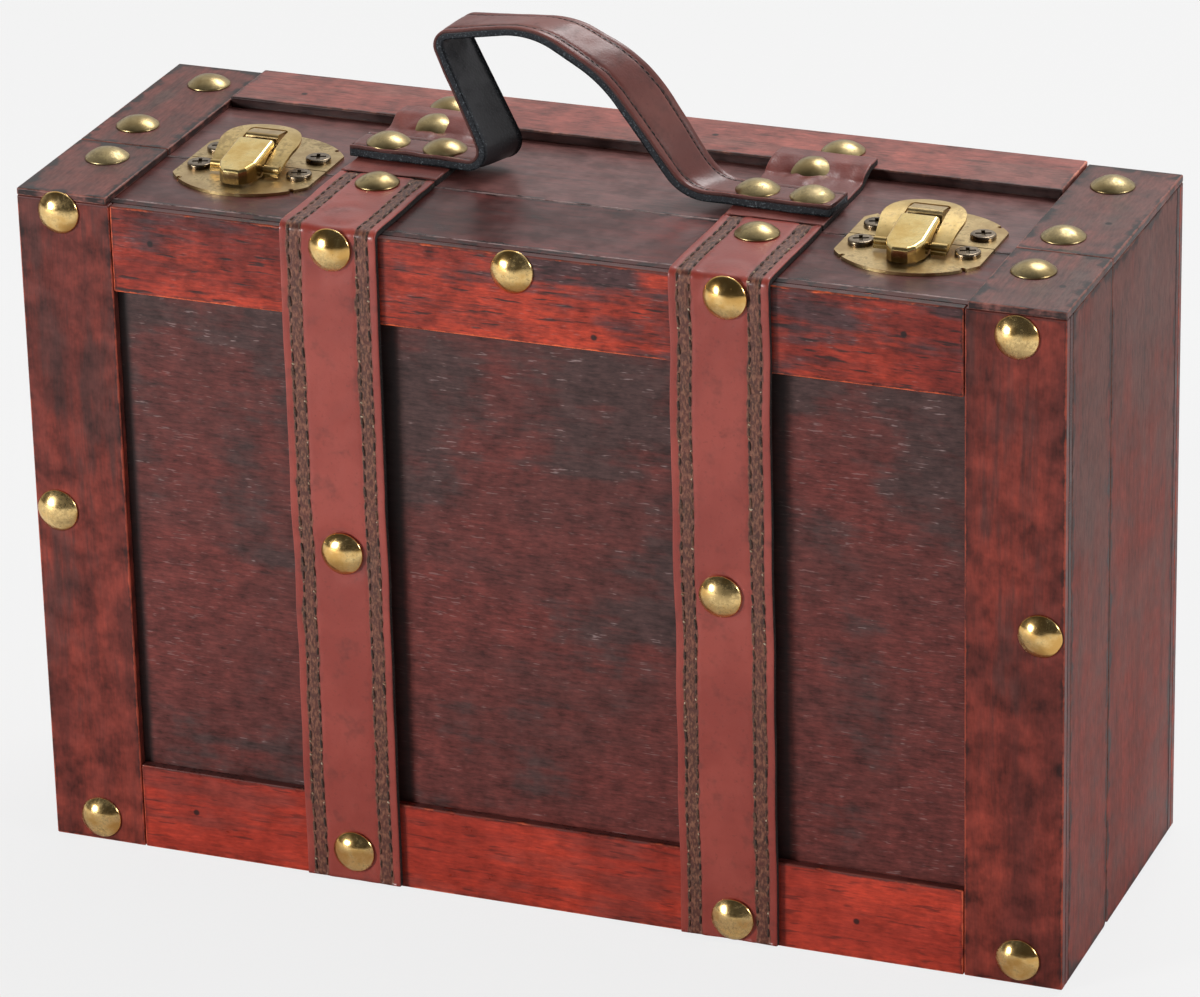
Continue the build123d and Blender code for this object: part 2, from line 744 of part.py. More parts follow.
def make_latches():
    for side, latch_x in (("left", latch_left_x), ("right", latch_right_x)):
        make_latch_plate(side, latch_x)
        make_lever_pin(side, latch_x)
        make_lever(side, latch_x)
        make_ring(side, latch_x)
        make_catch_plate(side, latch_x)
    for node, plate_side in (("latch_screws", -1), ("catch_screws", 1)):
        screws = []
        for latch_x in (latch_left_x, latch_right_x):
            screws += [plate_screw(x, y) for x, y in plate_screw_places(latch_x, plate_side)]
        save(Compound(children=screws), node)


def hinge_leaf(centre_x, side):
    """One leaf with its knuckles: the box's, side 1, has two, and the lid's, side -1, has one."""
    face_y = seam_y + side * seam_gap / 2
    low_y, high_y = sorted((face_y, face_y + side * leaf_thickness))
    low_z = hinge_height + knuckle_radius + knuckle_fit
    high_z = hinge_height + leaf_height
    half = hinge_length / 2
    middle_y = (low_y + high_y) / 2
    leaf = Pos(centre_x, middle_y, (low_z + high_z) / 2) * Box(2 * half, high_y - low_y, high_z - low_z)
    third = hinge_length / 3
    places = (-third, third) if side == 1 else (0.0,)
    for place in places:
        length = third - 2 * leaf_fit
        low_x = centre_x + place - length / 2
        leaf = leaf + rod_x(knuckle_radius, low_x, low_x + length, seam_y, hinge_height)
        web_top = low_z + leaf_thickness / 2
        web = Box(length, high_y - low_y, web_top - hinge_height)
        leaf = leaf + Pos(centre_x + place, middle_y, (web_top + hinge_height) / 2) * web
    bore = hinge_pin_radius + hinge_pin_fit
    leaf = leaf - rod_x(bore, centre_x - half, centre_x + half, seam_y, hinge_height)
    for x, z in hinge_screw_places(centre_x):
        leaf = leaf - hinge_screw(x, z, side, leaf_fit)
    return leaf


def make_hinges():
    for side, centre_x in (("left", -hinge_x), ("right", hinge_x)):
        save(hinge_leaf(centre_x, 1), f"hinge_box_leaf_{side}")
        save(hinge_leaf(centre_x, -1), f"hinge_lid_leaf_{side}")
        half = hinge_length / 2
        pin = rod_x(hinge_pin_radius, centre_x - half, centre_x + half, seam_y, hinge_height)
        save(pin, f"hinge_pin_{side}")
    for node, side in (("hinge_screws_box", 1), ("hinge_screws_lid", -1)):
        screws = []
        for centre_x in (-hinge_x, hinge_x):
            screws += [hinge_screw(x, z, side) for x, z in hinge_screw_places(centre_x)]
        save(Compound(children=screws), node)


def make_tacks():
    for node, group in (
        ("front_tacks", front_tacks),
        ("lid_top_tacks", lid_top_tacks),
        ("box_top_tacks", box_top_tacks),
        ("handle_tacks", handle_tacks),
    ):
        save(group.solids(), node)


os.makedirs("parts", exist_ok=True)
make_walls()
make_panels()
make_frame("front", front_y, front_panel_y, [front_tacks])
make_frame("back", back_frame_y, back_y, [box_top_tacks])
make_top_strips()
make_straps()
make_pads()
make_handle()
make_latches()
make_hinges()
make_tacks()
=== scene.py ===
import math
import random

import bpy
from mathutils import Matrix, Vector, noise


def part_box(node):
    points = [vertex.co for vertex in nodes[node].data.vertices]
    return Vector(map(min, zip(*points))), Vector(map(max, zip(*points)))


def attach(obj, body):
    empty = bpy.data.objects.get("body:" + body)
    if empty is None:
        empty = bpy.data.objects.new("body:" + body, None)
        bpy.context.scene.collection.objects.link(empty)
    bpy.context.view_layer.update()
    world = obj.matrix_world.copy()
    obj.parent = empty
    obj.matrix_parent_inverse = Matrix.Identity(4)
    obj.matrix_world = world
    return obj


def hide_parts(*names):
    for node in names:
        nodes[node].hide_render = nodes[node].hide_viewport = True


# Wooden suitcase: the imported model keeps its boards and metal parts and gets
# finishes, and the leather, the tacks and the stitches are made here.
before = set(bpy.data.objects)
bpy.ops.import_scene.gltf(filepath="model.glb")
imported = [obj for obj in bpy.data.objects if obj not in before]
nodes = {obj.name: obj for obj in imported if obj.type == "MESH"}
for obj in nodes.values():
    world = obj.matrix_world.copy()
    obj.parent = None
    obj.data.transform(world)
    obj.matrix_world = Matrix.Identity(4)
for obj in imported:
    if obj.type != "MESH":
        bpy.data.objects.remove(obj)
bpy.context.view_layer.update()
mm = 0.001
print("frame loaded:", len(nodes), "nodes")


def addObject(name, data):
    obj = bpy.data.objects.new(name, data)
    bpy.context.scene.collection.objects.link(obj)
    return obj


def addNode(tree, kind, settings=None, inputs=None):
    # An input takes a socket of another node or a plain value
    node = tree.nodes.new(kind)
    for key, value in (settings or {}).items():
        setattr(node, key, value)
    for key, value in (inputs or {}).items():
        if isinstance(value, bpy.types.NodeSocket):
            tree.links.new(value, node.inputs[key])
        else:
            node.inputs[key].default_value = value
    return node


def addOut(tree, kind, settings=None, inputs=None, out=0):
    return addNode(tree, kind, settings, inputs).outputs[out]


def addSum(tree, operation, first, second):
    return addOut(tree, "ShaderNodeMath", {"operation": operation}, {0: first, 1: second})


# Camera

cameraSettings = {
    "azimuth": 21.74,
    "elevation": 23.51,
    "roll": -1.43,
    "distance": 1.8246,
    "target": (-0.0018, 0.0, 0.1083),
    "lens": 185.3,
    "sensor": 36.0,
    "farthest": 20.0,
}


def setCamera(settings):
    azimuth, elevation, roll = (math.radians(settings[k]) for k in ("azimuth", "elevation", "roll"))
    back = Vector((
        math.sin(azimuth) * math.cos(elevation),
        -math.cos(azimuth) * math.cos(elevation),
        math.sin(elevation),
    ))
    side = Vector((math.cos(azimuth), math.sin(azimuth), 0.0))
    rise = back.cross(side)
    right = side * math.cos(roll) + rise * math.sin(roll)
    upward = rise * math.cos(roll) - side * math.sin(roll)
    data = bpy.data.cameras.new("camera")
    data.lens = settings["lens"]
    data.sensor_width = settings["sensor"]
    data.clip_end = settings["farthest"]
    camera = addObject("camera", data)
    turn = Matrix((right, upward, back)).transposed().to_4x4()
    place = Vector(settings["target"]) + back * settings["distance"]
    camera.matrix_world = Matrix.Translation(place) @ turn
    bpy.context.scene.camera = camera


setCamera(cameraSettings)
print("camera set")


# Shader helpers

def shade(red, green, blue):
    return (red, green, blue, 1.0)


class Wire:
    # One socket of a material, on which sums are written as Python expressions
    def __init__(self, finish, socket):
        self.finish = finish
        self.socket = socket

    def __add__(self, other):
        return self.finish.maths("ADD", self, other)

    def __sub__(self, other):
        return self.finish.maths("SUBTRACT", self, other)

    def __mul__(self, other):
        return self.finish.maths("MULTIPLY", self, other)

    def __rsub__(self, other):
        return self.finish.maths("SUBTRACT", other, self)

    __radd__ = __add__
    __rmul__ = __mul__


class Finish:
    # A material under construction
    def __init__(self, name):
        self.material = bpy.data.materials.new(name)
        self.material.use_nodes = True
        self.tree = self.material.node_tree
        self.tree.nodes.clear()
        self.surface = addNode(self.tree, "ShaderNodeBsdfPrincipled")
        addNode(self.tree, "ShaderNodeOutputMaterial", None, {0: self.surface.outputs[0]})

    def feed(self, socket, value):
        if isinstance(value, Wire):
            self.tree.links.new(value.socket, socket)
        else:
            socket.default_value = value

    def node(self, kind, settings=None, values=None, out=0):
        made = addNode(self.tree, kind, settings)
        for key, value in (values or {}).items():
            self.feed(made.inputs[key], value)
        return Wire(self, made.outputs[out])

    def maths(self, operation, first, second=0.0):
        return self.node("ShaderNodeMath", {"operation": operation}, {0: first, 1: second})

    def place(self):
        return self.node("ShaderNodeTexCoord", out="Object")

    def split(self, vector):
        made = addNode(self.tree, "ShaderNodeSeparateXYZ", None, {0: vector.socket})
        return [Wire(self, socket) for socket in made.outputs]

    def join(self, x, y, z):
        return self.node("ShaderNodeCombineXYZ", None, {0: x, 1: y, 2: z})

    def clouds(self, vector, scale=1.0, detail=2.0, rough=0.5, warp=0.0):
        return self.node("ShaderNodeTexNoise", None, {
            "Vector": vector, "Scale": scale, "Detail": detail, "Roughness": rough, "Distortion": warp,
        })

    def smooth(self, value, low, high):
        return self.node("ShaderNodeMapRange", {"interpolation_type": "SMOOTHSTEP"}, {
            "Value": value, "From Min": low, "From Max": high,
        })

    def mix(self, share, first, second, kind="MIX"):
        # Plain colours get their alpha here
        settings = {"data_type": "RGBA", "blend_type": kind}
        ends = [shade(*end) if isinstance(end, tuple) else end for end in (first, second)]
        return self.node("ShaderNodeMix", settings, {0: share, 6: ends[0], 7: ends[1]}, out=2)

    def bump(self, height, depth, strength=1.0):
        return self.node("ShaderNodeBump", None, {
            "Height": height, "Distance": depth, "Strength": strength,
        })

    def finish(self, **sockets):
        names = {"colour": "Base Color", "rough": "Roughness", "metal": "Metallic", "coat": "Coat Weight",
                 "coatRough": "Coat Roughness", "normal": "Normal", "gloss": "Specular IOR Level"}
        for key, value in sockets.items():
            self.feed(self.surface.inputs[names[key]], value)
        return self.material


def dress(node, material):
    data = nodes[node].data
    data.materials.clear()
    data.materials.append(material)


# Wood

# What most boards share; each kind of board in woodLooks changes some of it
woodCommon = {
    "grain": "x", "greyFrom": 0.5, "patchShare": 0.55, "blotch": 1.8, "pale": 0.04, "fleck": 0.25,
    "lean": 0.0, "grime": 0.5, "ragged": 0.004, "reach": 0.0014, "rough": 0.38, "coat": 0.0, "gloss": 0.3,
    "bump": 0.5,
}

woodLooks = {
    "stile": {
        "grain": "z", "base": (0.12, 0.02, 0.014), "bright": (0.26, 0.036, 0.021),
        "dark": (0.05, 0.013, 0.011), "grey": (0.06, 0.021, 0.018), "wornAndGlint": (0.6, 0.1, 0.05),
        "brightShare": 0.8, "streakShare": 0.3, "greyShare": 0.75, "wornAndGlintShare": 0.55, "tone": 0.9,
        "blotch": 2.6, "pale": 0.03, "fleck": 0.15, "lean": 0.02, "grime": 0.55, "rough": 0.42,
        "coat": 0.05, "gloss": 0.25, "bump": 0.4,
    },
    "rail": {
        "base": (0.19, 0.018, 0.01), "bright": (0.48, 0.042, 0.014), "dark": (0.08, 0.014, 0.011),
        "grey": (0.066, 0.027, 0.028), "wornAndGlint": (1.0, 0.17, 0.06), "brightShare": 0.85,
        "streakShare": 0.55, "greyShare": 1.0, "greyFrom": 0.49, "wornAndGlintShare": 0.85, "tone": 2.4,
        "pale": 0.35, "fleck": 0.85, "lean": 0.045, "ragged": 0.003, "coat": 0.06, "bump": 0.7,
    },
    "lowRail": {
        "base": (0.37, 0.034, 0.018), "bright": (0.58, 0.052, 0.022), "dark": (0.19, 0.022, 0.014),
        "grey": (0.15, 0.034, 0.027), "wornAndGlint": (1.0, 0.2, 0.09), "brightShare": 0.7, "streakShare": 0.4,
        "greyShare": 0.55, "greyFrom": 0.51, "wornAndGlintShare": 0.6, "tone": 1.4, "blotch": 1.2, "fleck": 0.5,
        "grime": 0.4, "ragged": 0.003, "coat": 0.06,
    },
    "panel": {
        "base": (0.106, 0.029, 0.025), "bright": (0.165, 0.03, 0.024), "dark": (0.052, 0.018, 0.017),
        "grey": (0.06, 0.034, 0.032), "wornAndGlint": (0.14, 0.03, 0.025), "brightShare": 0.55,
        "streakShare": 0.15, "greyShare": 0.85, "greyFrom": 0.49, "wornAndGlintShare": 0.1, "patchShare": 0.22,
        "tone": 2.1, "blotch": 1.7, "pale": 0.6, "lean": 0.08, "rough": 0.48, "gloss": 0.25,
        "bump": 0.7,
    },
    "top": {
        "base": (0.085, 0.025, 0.022), "bright": (0.15, 0.02, 0.015), "dark": (0.035, 0.013, 0.013),
        "grey": (0.07, 0.036, 0.034), "wornAndGlint": (0.55, 0.4, 0.38), "brightShare": 0.75,
        "streakShare": 0.35, "greyShare": 0.7, "wornAndGlintShare": 0.7, "tone": 1.4, "fleck": 0.3,
        "grime": 0.85, "ragged": 0.006, "rough": 0.36, "coat": 0.15, "gloss": 0.25,
    },
    # Lighter than the lid top: painted sheen, standing for the bright light behind the case reflected on
    # the box top
    "boxTop": {
        "base": (0.15, 0.062, 0.056), "bright": (0.19, 0.05, 0.042), "dark": (0.05, 0.022, 0.021),
        "grey": (0.11, 0.06, 0.058), "wornAndGlint": (0.55, 0.4, 0.38), "brightShare": 0.6, "streakShare": 0.3,
        "greyShare": 0.7, "wornAndGlintShare": 0.6, "tone": 1.3, "blotch": 1.4, "grime": 0.85, "ragged": 0.006,
        "coat": 0.15, "gloss": 0.35,
    },
    "strip": {
        "grain": "y", "base": (0.12, 0.05, 0.043), "bright": (0.2, 0.062, 0.05),
        "dark": (0.05, 0.023, 0.02), "grey": (0.095, 0.062, 0.055), "wornAndGlint": (0.45, 0.17, 0.13),
        "brightShare": 0.7, "streakShare": 0.25, "greyShare": 0.8, "wornAndGlintShare": 0.55, "tone": 1.6,
        "grime": 0.95, "ragged": 0.012, "reach": 0.003, "rough": 0.46, "bump": 0.6,
    },
    "rearRail": {
        "base": (0.29, 0.08, 0.063), "bright": (0.4, 0.105, 0.078), "dark": (0.13, 0.046, 0.038),
        "grey": (0.2, 0.095, 0.08), "wornAndGlint": (0.9, 0.33, 0.22), "brightShare": 0.6, "streakShare": 0.35,
        "greyShare": 0.6, "wornAndGlintShare": 0.8, "tone": 1.6, "pale": 0.08, "fleck": 0.4, "rough": 0.44,
        "coat": 0.05, "bump": 0.6,
    },
    "side": {
        "grain": "z", "base": (0.165, 0.046, 0.036), "bright": (0.22, 0.042, 0.032),
        "dark": (0.075, 0.027, 0.023), "grey": (0.135, 0.066, 0.058), "wornAndGlint": (0.4, 0.15, 0.11),
        "brightShare": 0.65, "streakShare": 0.4, "greyShare": 0.85, "wornAndGlintShare": 0.35, "tone": 1.5,
        "blotch": 1.3, "pale": 0.0, "lean": 0.09, "grime": 0.85, "ragged": 0.01, "reach": 0.0026,
        "rough": 0.52, "gloss": 0.12,
    },
}
woodLooks = {kind: {**woodCommon, **look} for kind, look in woodLooks.items()}

sides = ("left", "right")
walls = ("front", "back")
woodPieces = {
    "stile": [f"{wall}_stile_{side}" for wall in walls for side in sides],
    "rail": [f"{wall}_rail_top" for wall in walls],
    "lowRail": [f"{wall}_rail_bottom" for wall in walls],
    "panel": [f"{wall}_panel" for wall in walls],
    "top": ["lid_top", "lid_bottom"],
    "boxTop": ["box_top", "box_bottom"],
    "strip": [f"{part}_strip_{side}" for part in ("lid", "box") for side in sides],
    "rearRail": ["rear_rail"],
    "side": [f"{part}_side_{side}" for part in ("lid", "box") for side in sides],
}

# Nail heads filled with stain, by node: places on the face, in millimetres
nailSpots = {
    "front_rail_top": [(-117.0, -56.4, 196.0), (112.0, -56.4, 196.5), (20.0, -56.4, 184.0)],
    "front_rail_bottom": [(-112.0, -56.4, 14.0), (97.0, -56.4, 12.0)],
    "rear_rail": [(20.0, 44.0, 209.6), (-110.0, 40.0, 209.6)],
    "box_strip_right": [(150.0, 12.0, 208.6)],
    "lid_strip_right": [(152.0, -38.0, 208.6)],
}

# Places along the front panel where a dark band is painted beside the straps and the stile: painted
# shadow, in the stain colour
paintedShadowEdges = {"front_panel": [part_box("front_stile_left")[1][0], -0.0452, 0.0733]}

# Marks that lie over the grain, with sizes in metres
woodMarks = {
    # The stain colour also paints the shadow beside the straps and the shade on the rear rail's front
    # face
    "stain": (0.014, 0.009, 0.009),
    "paleGrain": (0.42, 0.3, 0.29),
    "darkGrain": (0.022, 0.01, 0.009),
    "nail": (0.008, 0.006, 0.006),
    "nailInner": 0.0006,
    "nailOuter": 0.0013,
    "nailShare": 0.9,
    "lidStain": 0.9,
    # How strongly the painted shadow beside the straps and the painted shade on the rear rail's front
    # face are drawn
    "paintedShadowShare": 0.8,
    "paintedFrontShade": 0.9,
}


def woodFinish(node, look, marks, seed):
    f = Finish("wood_" + node)
    low, high = (Vector(v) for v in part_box(node))
    middle, half = (low + high) / 2, (high - low) / 2
    x, y, z = f.split(f.place())
    shift = seed * 1.37
    run, wide, deep = {"x": (x, z, y), "y": (y, x, z), "z": (z, x, y)}[look["grain"]]
    sway = f.clouds(f.join(run * 6.0 + shift, wide * 14.0, deep * 14.0), 1.0, 1.0)
    wide = wide + (sway - 0.5) * 0.006

    def grain(along, across, detail=2.0, rough=0.5, offset=0.0):
        spot = f.join(run * along + shift + offset, wide * across, deep * across)
        return f.clouds(spot, 1.0, detail, rough)

    cloud = f.clouds(f.join(x + shift, y, z), 17.0, 5.0, 0.66)
    blotch = f.clouds(f.join(x, y + shift, z), 130.0, 3.0, 0.65)
    patch = grain(11.0, 58.0, 3.0, 0.6, 9.0)
    streak = grain(20.0, 300.0, 4.0, 0.7)
    fibre = grain(250.0, 1150.0, 4.0, 0.72, 3.0)
    lean = (z - middle.z) * (look["lean"] / half.z)
    patchShare = look["patchShare"]
    brighter = f.smooth(cloud * 0.6 + patch * 0.4 - lean, 0.42, 0.60) * look["brightShare"]
    colour = f.mix(brighter, look["base"], look["bright"])
    colour = f.mix(f.smooth(streak, 0.42, 0.68) * look["streakShare"], colour, look["dark"])
    weathered = patch * patchShare + (1.0 - cloud) * (0.9 - patchShare) + blotch * 0.10
    weathered = weathered + lean + (streak - 0.5) * 0.2
    weathered = f.smooth(weathered, look["greyFrom"], look["greyFrom"] + 0.10)
    colour = f.mix(weathered * look["greyShare"], colour, look["grey"])
    tone = (fibre - 0.5) * look["tone"] + (blotch - 0.5) * look["blotch"] + 1.0
    colour = f.mix(1.0, colour, f.maths("MAXIMUM", tone, 0.15), "MULTIPLY")
    flecks = f.smooth(grain(75.0, 620.0, 2.0, 0.6, 13.0), 0.59, 0.68) * look["fleck"]
    colour = f.mix(flecks, colour, marks["darkGrain"])
    dash = f.smooth(grain(240.0, 1900.0, 1.0, 0.5, 5.0), 0.645, 0.74)
    dash = dash * f.smooth(blotch + cloud, 0.92, 1.08)
    pale = dash * (weathered * 0.6 + 0.4) * look["pale"]
    colour = f.mix(pale, colour, marks["paleGrain"])

    gaps = []
    for wire, centre, reach in ((x, middle.x, half.x), (y, middle.y, half.y), (z, middle.z, half.z)):
        gaps.append(reach - f.maths("ABSOLUTE", wire - centre))
    nearer = f.maths("MINIMUM", gaps[0], gaps[1])
    farther = f.maths("MAXIMUM", gaps[0], gaps[1])
    edge = f.maths("MAXIMUM", nearer, f.maths("MINIMUM", farther, gaps[2]))
    rub = f.clouds(f.join(x + shift, y, z), 210.0, 3.0, 0.7)
    # Rubbed edges: partly real wear, partly painted glints along the edges
    wornAndGlint = f.smooth((rub - 0.30) * 0.0016 - edge, -0.0003, 0.0002) * f.smooth(cloud, 0.30, 0.55)
    grime = 1.0 - f.smooth(edge + (blotch - 0.5) * look["ragged"], 0.0002, look["reach"])
    colour = f.mix(grime * look["grime"], colour, marks["stain"])
    colour = f.mix(wornAndGlint * look["wornAndGlintShare"], colour, look["wornAndGlint"])
    if node.startswith(("front_", "back_")):
        lid = f.smooth(z + (blotch - 0.5) * 0.003, high.z - 0.0009, high.z - 0.0001)
        edgeColour = f.mix(f.smooth(blotch, 0.38, 0.52), marks["stain"], woodLooks["top"]["base"])
        colour = f.mix(lid * marks["lidStain"], colour, edgeColour)
    # Painted shadow: a dark band just right of each strap's edge and of the stile's edge
    for start in paintedShadowEdges.get(node, []):
        paintedShadow = f.smooth(x, start - 0.002, start - 0.001)
        paintedShadow = paintedShadow * (1.0 - f.smooth(x + (rub - 0.5) * 0.001, start + 0.0020, start + 0.0040))
        colour = f.mix(paintedShadow * marks["paintedShadowShare"], colour, marks["stain"])
    # Painted shade: the rear rail's front face is darkened with the stain colour
    if node == "rear_rail":
        step = 1.0 - f.smooth(y + (rub - 0.5) * 0.0016, low.y + 0.0002, low.y + 0.0012)
        colour = f.mix(step * marks["paintedFrontShade"], colour, marks["stain"])
    for spot in nailSpots.get(node, []):
        away = [(wire - value * mm) * (wire - value * mm) for wire, value in zip((x, y, z), spot)]
        away = f.maths("SQRT", away[0] + away[1] + away[2])
        hole = 1.0 - f.smooth(away, marks["nailInner"], marks["nailOuter"])
        colour = f.mix(hole * marks["nailShare"], colour, marks["nail"])

    rough = look["rough"] + (cloud - 0.5) * 0.5 + weathered * 0.06 + pale * 0.2 - wornAndGlint * 0.05
    rough = rough + (blotch - 0.5) * 0.3 - grime * 0.08
    coat = f.smooth(cloud + (blotch - 0.5) * 0.5, 0.42, 0.62) * (look["coat"] * 2.0)
    height = fibre * 0.4 + streak * 0.2 - flecks * 0.4 - pale * 0.3 + rub * 0.2 + grime * blotch
    return f.finish(
        colour=colour, rough=rough, coat=coat, coatRough=0.22, gloss=look["gloss"],
        normal=f.bump(height, 0.00012, look["bump"]),
    )


seed = 1
for kind, names in woodPieces.items():
    for name in names:
        dress(name, woodFinish(name, woodLooks[kind], woodMarks, seed))
        seed += 1
print("wood finished")


# Leather

leatherLooks = {
    "strap": {
        "base": (0.275, 0.042, 0.03), "dark": (0.11, 0.022, 0.016), "light": (0.37, 0.066, 0.047),
        "band": (0.055, 0.02, 0.012), "cut": (0.012, 0.01, 0.01), "fray": (0.1, 0.075, 0.06),
        "nap": (0.23, 0.1, 0.055), "rough": 0.36, "coat": 0.25, "grain": 0.45,
        "bands": [(2.2, 6.6), (23.2, 27.6)],
    },
    "pad": {
        "base": (0.19, 0.045, 0.036), "dark": (0.075, 0.022, 0.02), "light": (0.3, 0.085, 0.065),
        "cut": (0.018, 0.014, 0.014), "fray": (0.16, 0.1, 0.08), "rough": 0.42, "coat": 0.2,
        "grain": 0.9, "bands": [],
    },
    "handle": {
        "base": (0.155, 0.042, 0.034), "dark": (0.07, 0.022, 0.019), "light": (0.24, 0.075, 0.058),
        "band": (0.02, 0.008, 0.007), "cut": (0.085, 0.03, 0.026), "fray": (0.13, 0.08, 0.07),
        "nap": (0.1, 0.035, 0.028), "rough": 0.40, "coat": 0.2, "grain": 0.6,
        "bands": [(1.75, 2.35), (11.65, 12.25)],
    },
    "lining": {
        "base": (0.03, 0.03, 0.034), "dark": (0.012, 0.012, 0.014), "light": (0.065, 0.065, 0.072),
        "cut": (0.02, 0.023, 0.028), "fray": (0.16, 0.19, 0.21), "rough": 0.52, "coat": 0.1,
        "grain": 0.9, "bands": [],
    },
}


def leatherFinish(name, look, seed):
    # Reads the piece's UV map in metres, across and along, and its cut attribute: 1 on the cut edges
    f = Finish("leather_" + name)
    across, along, _ = f.split(f.node("ShaderNodeUVMap", {"uv_map": "run"}))
    spot = f.place()
    cut = f.node("ShaderNodeAttribute", {"attribute_name": "cut"}, out="Fac")
    shift = (seed * 0.31, 0.0, seed * 0.17)
    moved = f.node("ShaderNodeVectorMath", {"operation": "ADD"}, {0: spot, 1: shift})
    cloud = f.clouds(moved, 34.0, 4.0, 0.6)
    blot = f.clouds(moved, 120.0, 3.0, 0.65)
    fleck = f.clouds(moved, 900.0, 2.0, 0.6)
    cells = {"Vector": moved, "Scale": 1300.0}
    pebble = f.node("ShaderNodeTexVoronoi", {"feature": "F1"}, cells, out="Distance")
    colour = f.mix(f.smooth(cloud, 0.40, 0.66) * 0.7, look["base"], look["light"])
    colour = f.mix(f.smooth(blot, 0.52, 0.72) * 0.45, colour, look["dark"])
    colour = f.mix(f.smooth(fleck, 0.58, 0.75) * 0.3, colour, look["dark"])
    band = None
    for start, end in look["bands"]:
        wobble = (blot - 0.5) * 0.0022
        inside = f.smooth(across + wobble, (start - 0.25) * mm, (start + 0.25) * mm)
        inside = inside * (1.0 - f.smooth(across + wobble, (end - 0.25) * mm, (end + 0.25) * mm))
        band = inside if band is None else band + inside
    if band is not None:
        thread = f.clouds(f.join(across * 1300.0, along * 520.0, cut * 3.0), 1.0, 3.0, 0.65)
        brown = f.mix(f.smooth(thread, 0.42, 0.66), look["band"], look["nap"])
        colour = f.mix(band * (0.62 + blot * 0.5), colour, brown)
    fray = f.smooth(f.clouds(moved, 1500.0, 2.0, 0.7), 0.52, 0.70)
    cutColour = f.mix(fray * 0.7, look["cut"], look["fray"])
    rim = f.smooth(cut + (blot - 0.5) * 0.4, 0.25, 0.6)
    colour = f.mix(rim, colour, cutColour)
    rough = look["rough"] + (cloud - 0.5) * 0.25 + f.smooth(blot, 0.5, 0.75) * 0.12 + rim * 0.35
    height = (1.0 - pebble) * 0.3 + blot * 0.7 + fleck * 0.25 + fray * rim * 1.5
    if band is not None:
        height = height + band * thread * 2.2
        rough = rough + band * 0.2
    coat = look["coat"] * (1.0 - rim)
    return f.finish(
        colour=colour, rough=rough, coat=coat, coatRough=0.25, gloss=0.35,
        normal=f.bump(height, 0.00016, look["grain"]),
    )


def bentPath(corners, radii, lineSteps, arcSteps):
    # Points along straight runs and round bends, each with its normal to the left of the way
    points = []
    start = Vector(corners[0])
    for index in range(1, len(corners) - 1):
        corner = Vector(corners[index])
        into = (corner - Vector(corners[index - 1])).normalized()
        out = (Vector(corners[index + 1]) - corner).normalized()
        turn = math.atan2(into.x * out.y - into.y * out.x, into.dot(out))
        radius = radii[index - 1]
        reach = radius * math.tan(abs(turn) / 2)
        bendStart, bendEnd = corner - into * reach, corner + out * reach
        left = Vector((-into.y, into.x))
        for step in range(lineSteps[index - 1]):
            points.append((start.lerp(bendStart, step / lineSteps[index - 1]), left))
        centre = bendStart + left * math.copysign(radius, turn)
        for step in range(arcSteps[index - 1]):
            spin = Matrix.Rotation(turn * step / arcSteps[index - 1], 2)
            points.append((centre + spin @ (bendStart - centre), spin @ left))
        start = bendEnd
    last = Vector(corners[-1])
    into = (last - Vector(corners[-2])).normalized()
    for step in range(lineSteps[-1] + 1):
        points.append((start.lerp(last, step / lineSteps[-1]), Vector((-into.y, into.x))))
    return points


def spread(width, count):
    # Shares of the width, closer together near both edges
    near = [0.0, 0.12, 0.3, 0.6]
    inner = [1.0 + (width - 2.0) * k / count for k in range(count + 1)]
    places = near + inner + [width - d for d in reversed(near)]
    return [p / width for p in places]


def layerMesh(name, nearEdge, farEdge, low, high, width, count, shape, rounding=0.35):
    # A closed strip between two edge lines: lists of (point, outward normal) in millimetres.
    # shape(share across, run, side) gives how far a surface point moves out along the normal.
    shares = spread(width, count)
    under = [1 - k / 8 for k in range(9)]
    shoulder = high - rounding
    verts, runs, cuts, rings = [], [], [], []
    run = 0.0
    for index, ((near, nearOut), (far, farOut)) in enumerate(zip(nearEdge, farEdge)):
        if index:
            before = (nearEdge[index - 1][0] + farEdge[index - 1][0]) / 2
            run += ((near + far) / 2 - before).length
        ring = []

        def add(share, out, cut):
            spot = near.lerp(far, share)
            normal = nearOut.lerp(farOut, share).normalized()
            ring.append(len(verts))
            verts.append((spot + normal * out) * mm)
            runs.append((share * width * mm, run * mm))
            cuts.append(cut)

        for share in shares:
            away = min(share, 1 - share) * width
            drop = rounding - math.sqrt(max(rounding ** 2 - max(rounding - away, 0.0) ** 2, 0.0))
            add(share, high - drop + shape(share, run, 1), 0.0 if away > 0.05 else 0.5)
        for part in (0.3, 0.6, 0.85):
            add(1.0, shoulder + (low - shoulder) * part + shape(1.0, run, 1) * (1 - part), 1.0)
        for share in under:
            add(share, low + shape(share, run, -1), 0.75 if share in (0.0, 1.0) else 0.3)
        for part in (0.85, 0.6, 0.3):
            add(0.0, shoulder + (low - shoulder) * part + shape(0.0, run, 1) * (1 - part), 1.0)
        rings.append(ring)
    faces = []
    size = len(rings[0])
    for first, second in zip(rings, rings[1:]):
        for k in range(size):
            n = (k + 1) % size
            faces.append((first[k], first[n], second[n], second[k]))
    for ring, flip in ((rings[0], True), (rings[-1], False)):
        centre = len(verts)
        verts.append(sum((verts[k] for k in ring), Vector()) / size)
        runs.append(runs[ring[0]])
        cuts.append(1.0)
        for k in range(size):
            trio = (ring[k], ring[(k + 1) % size], centre)
            faces.append(trio if not flip else trio[::-1])
    return closedObject(name, verts, faces, runs, cuts)


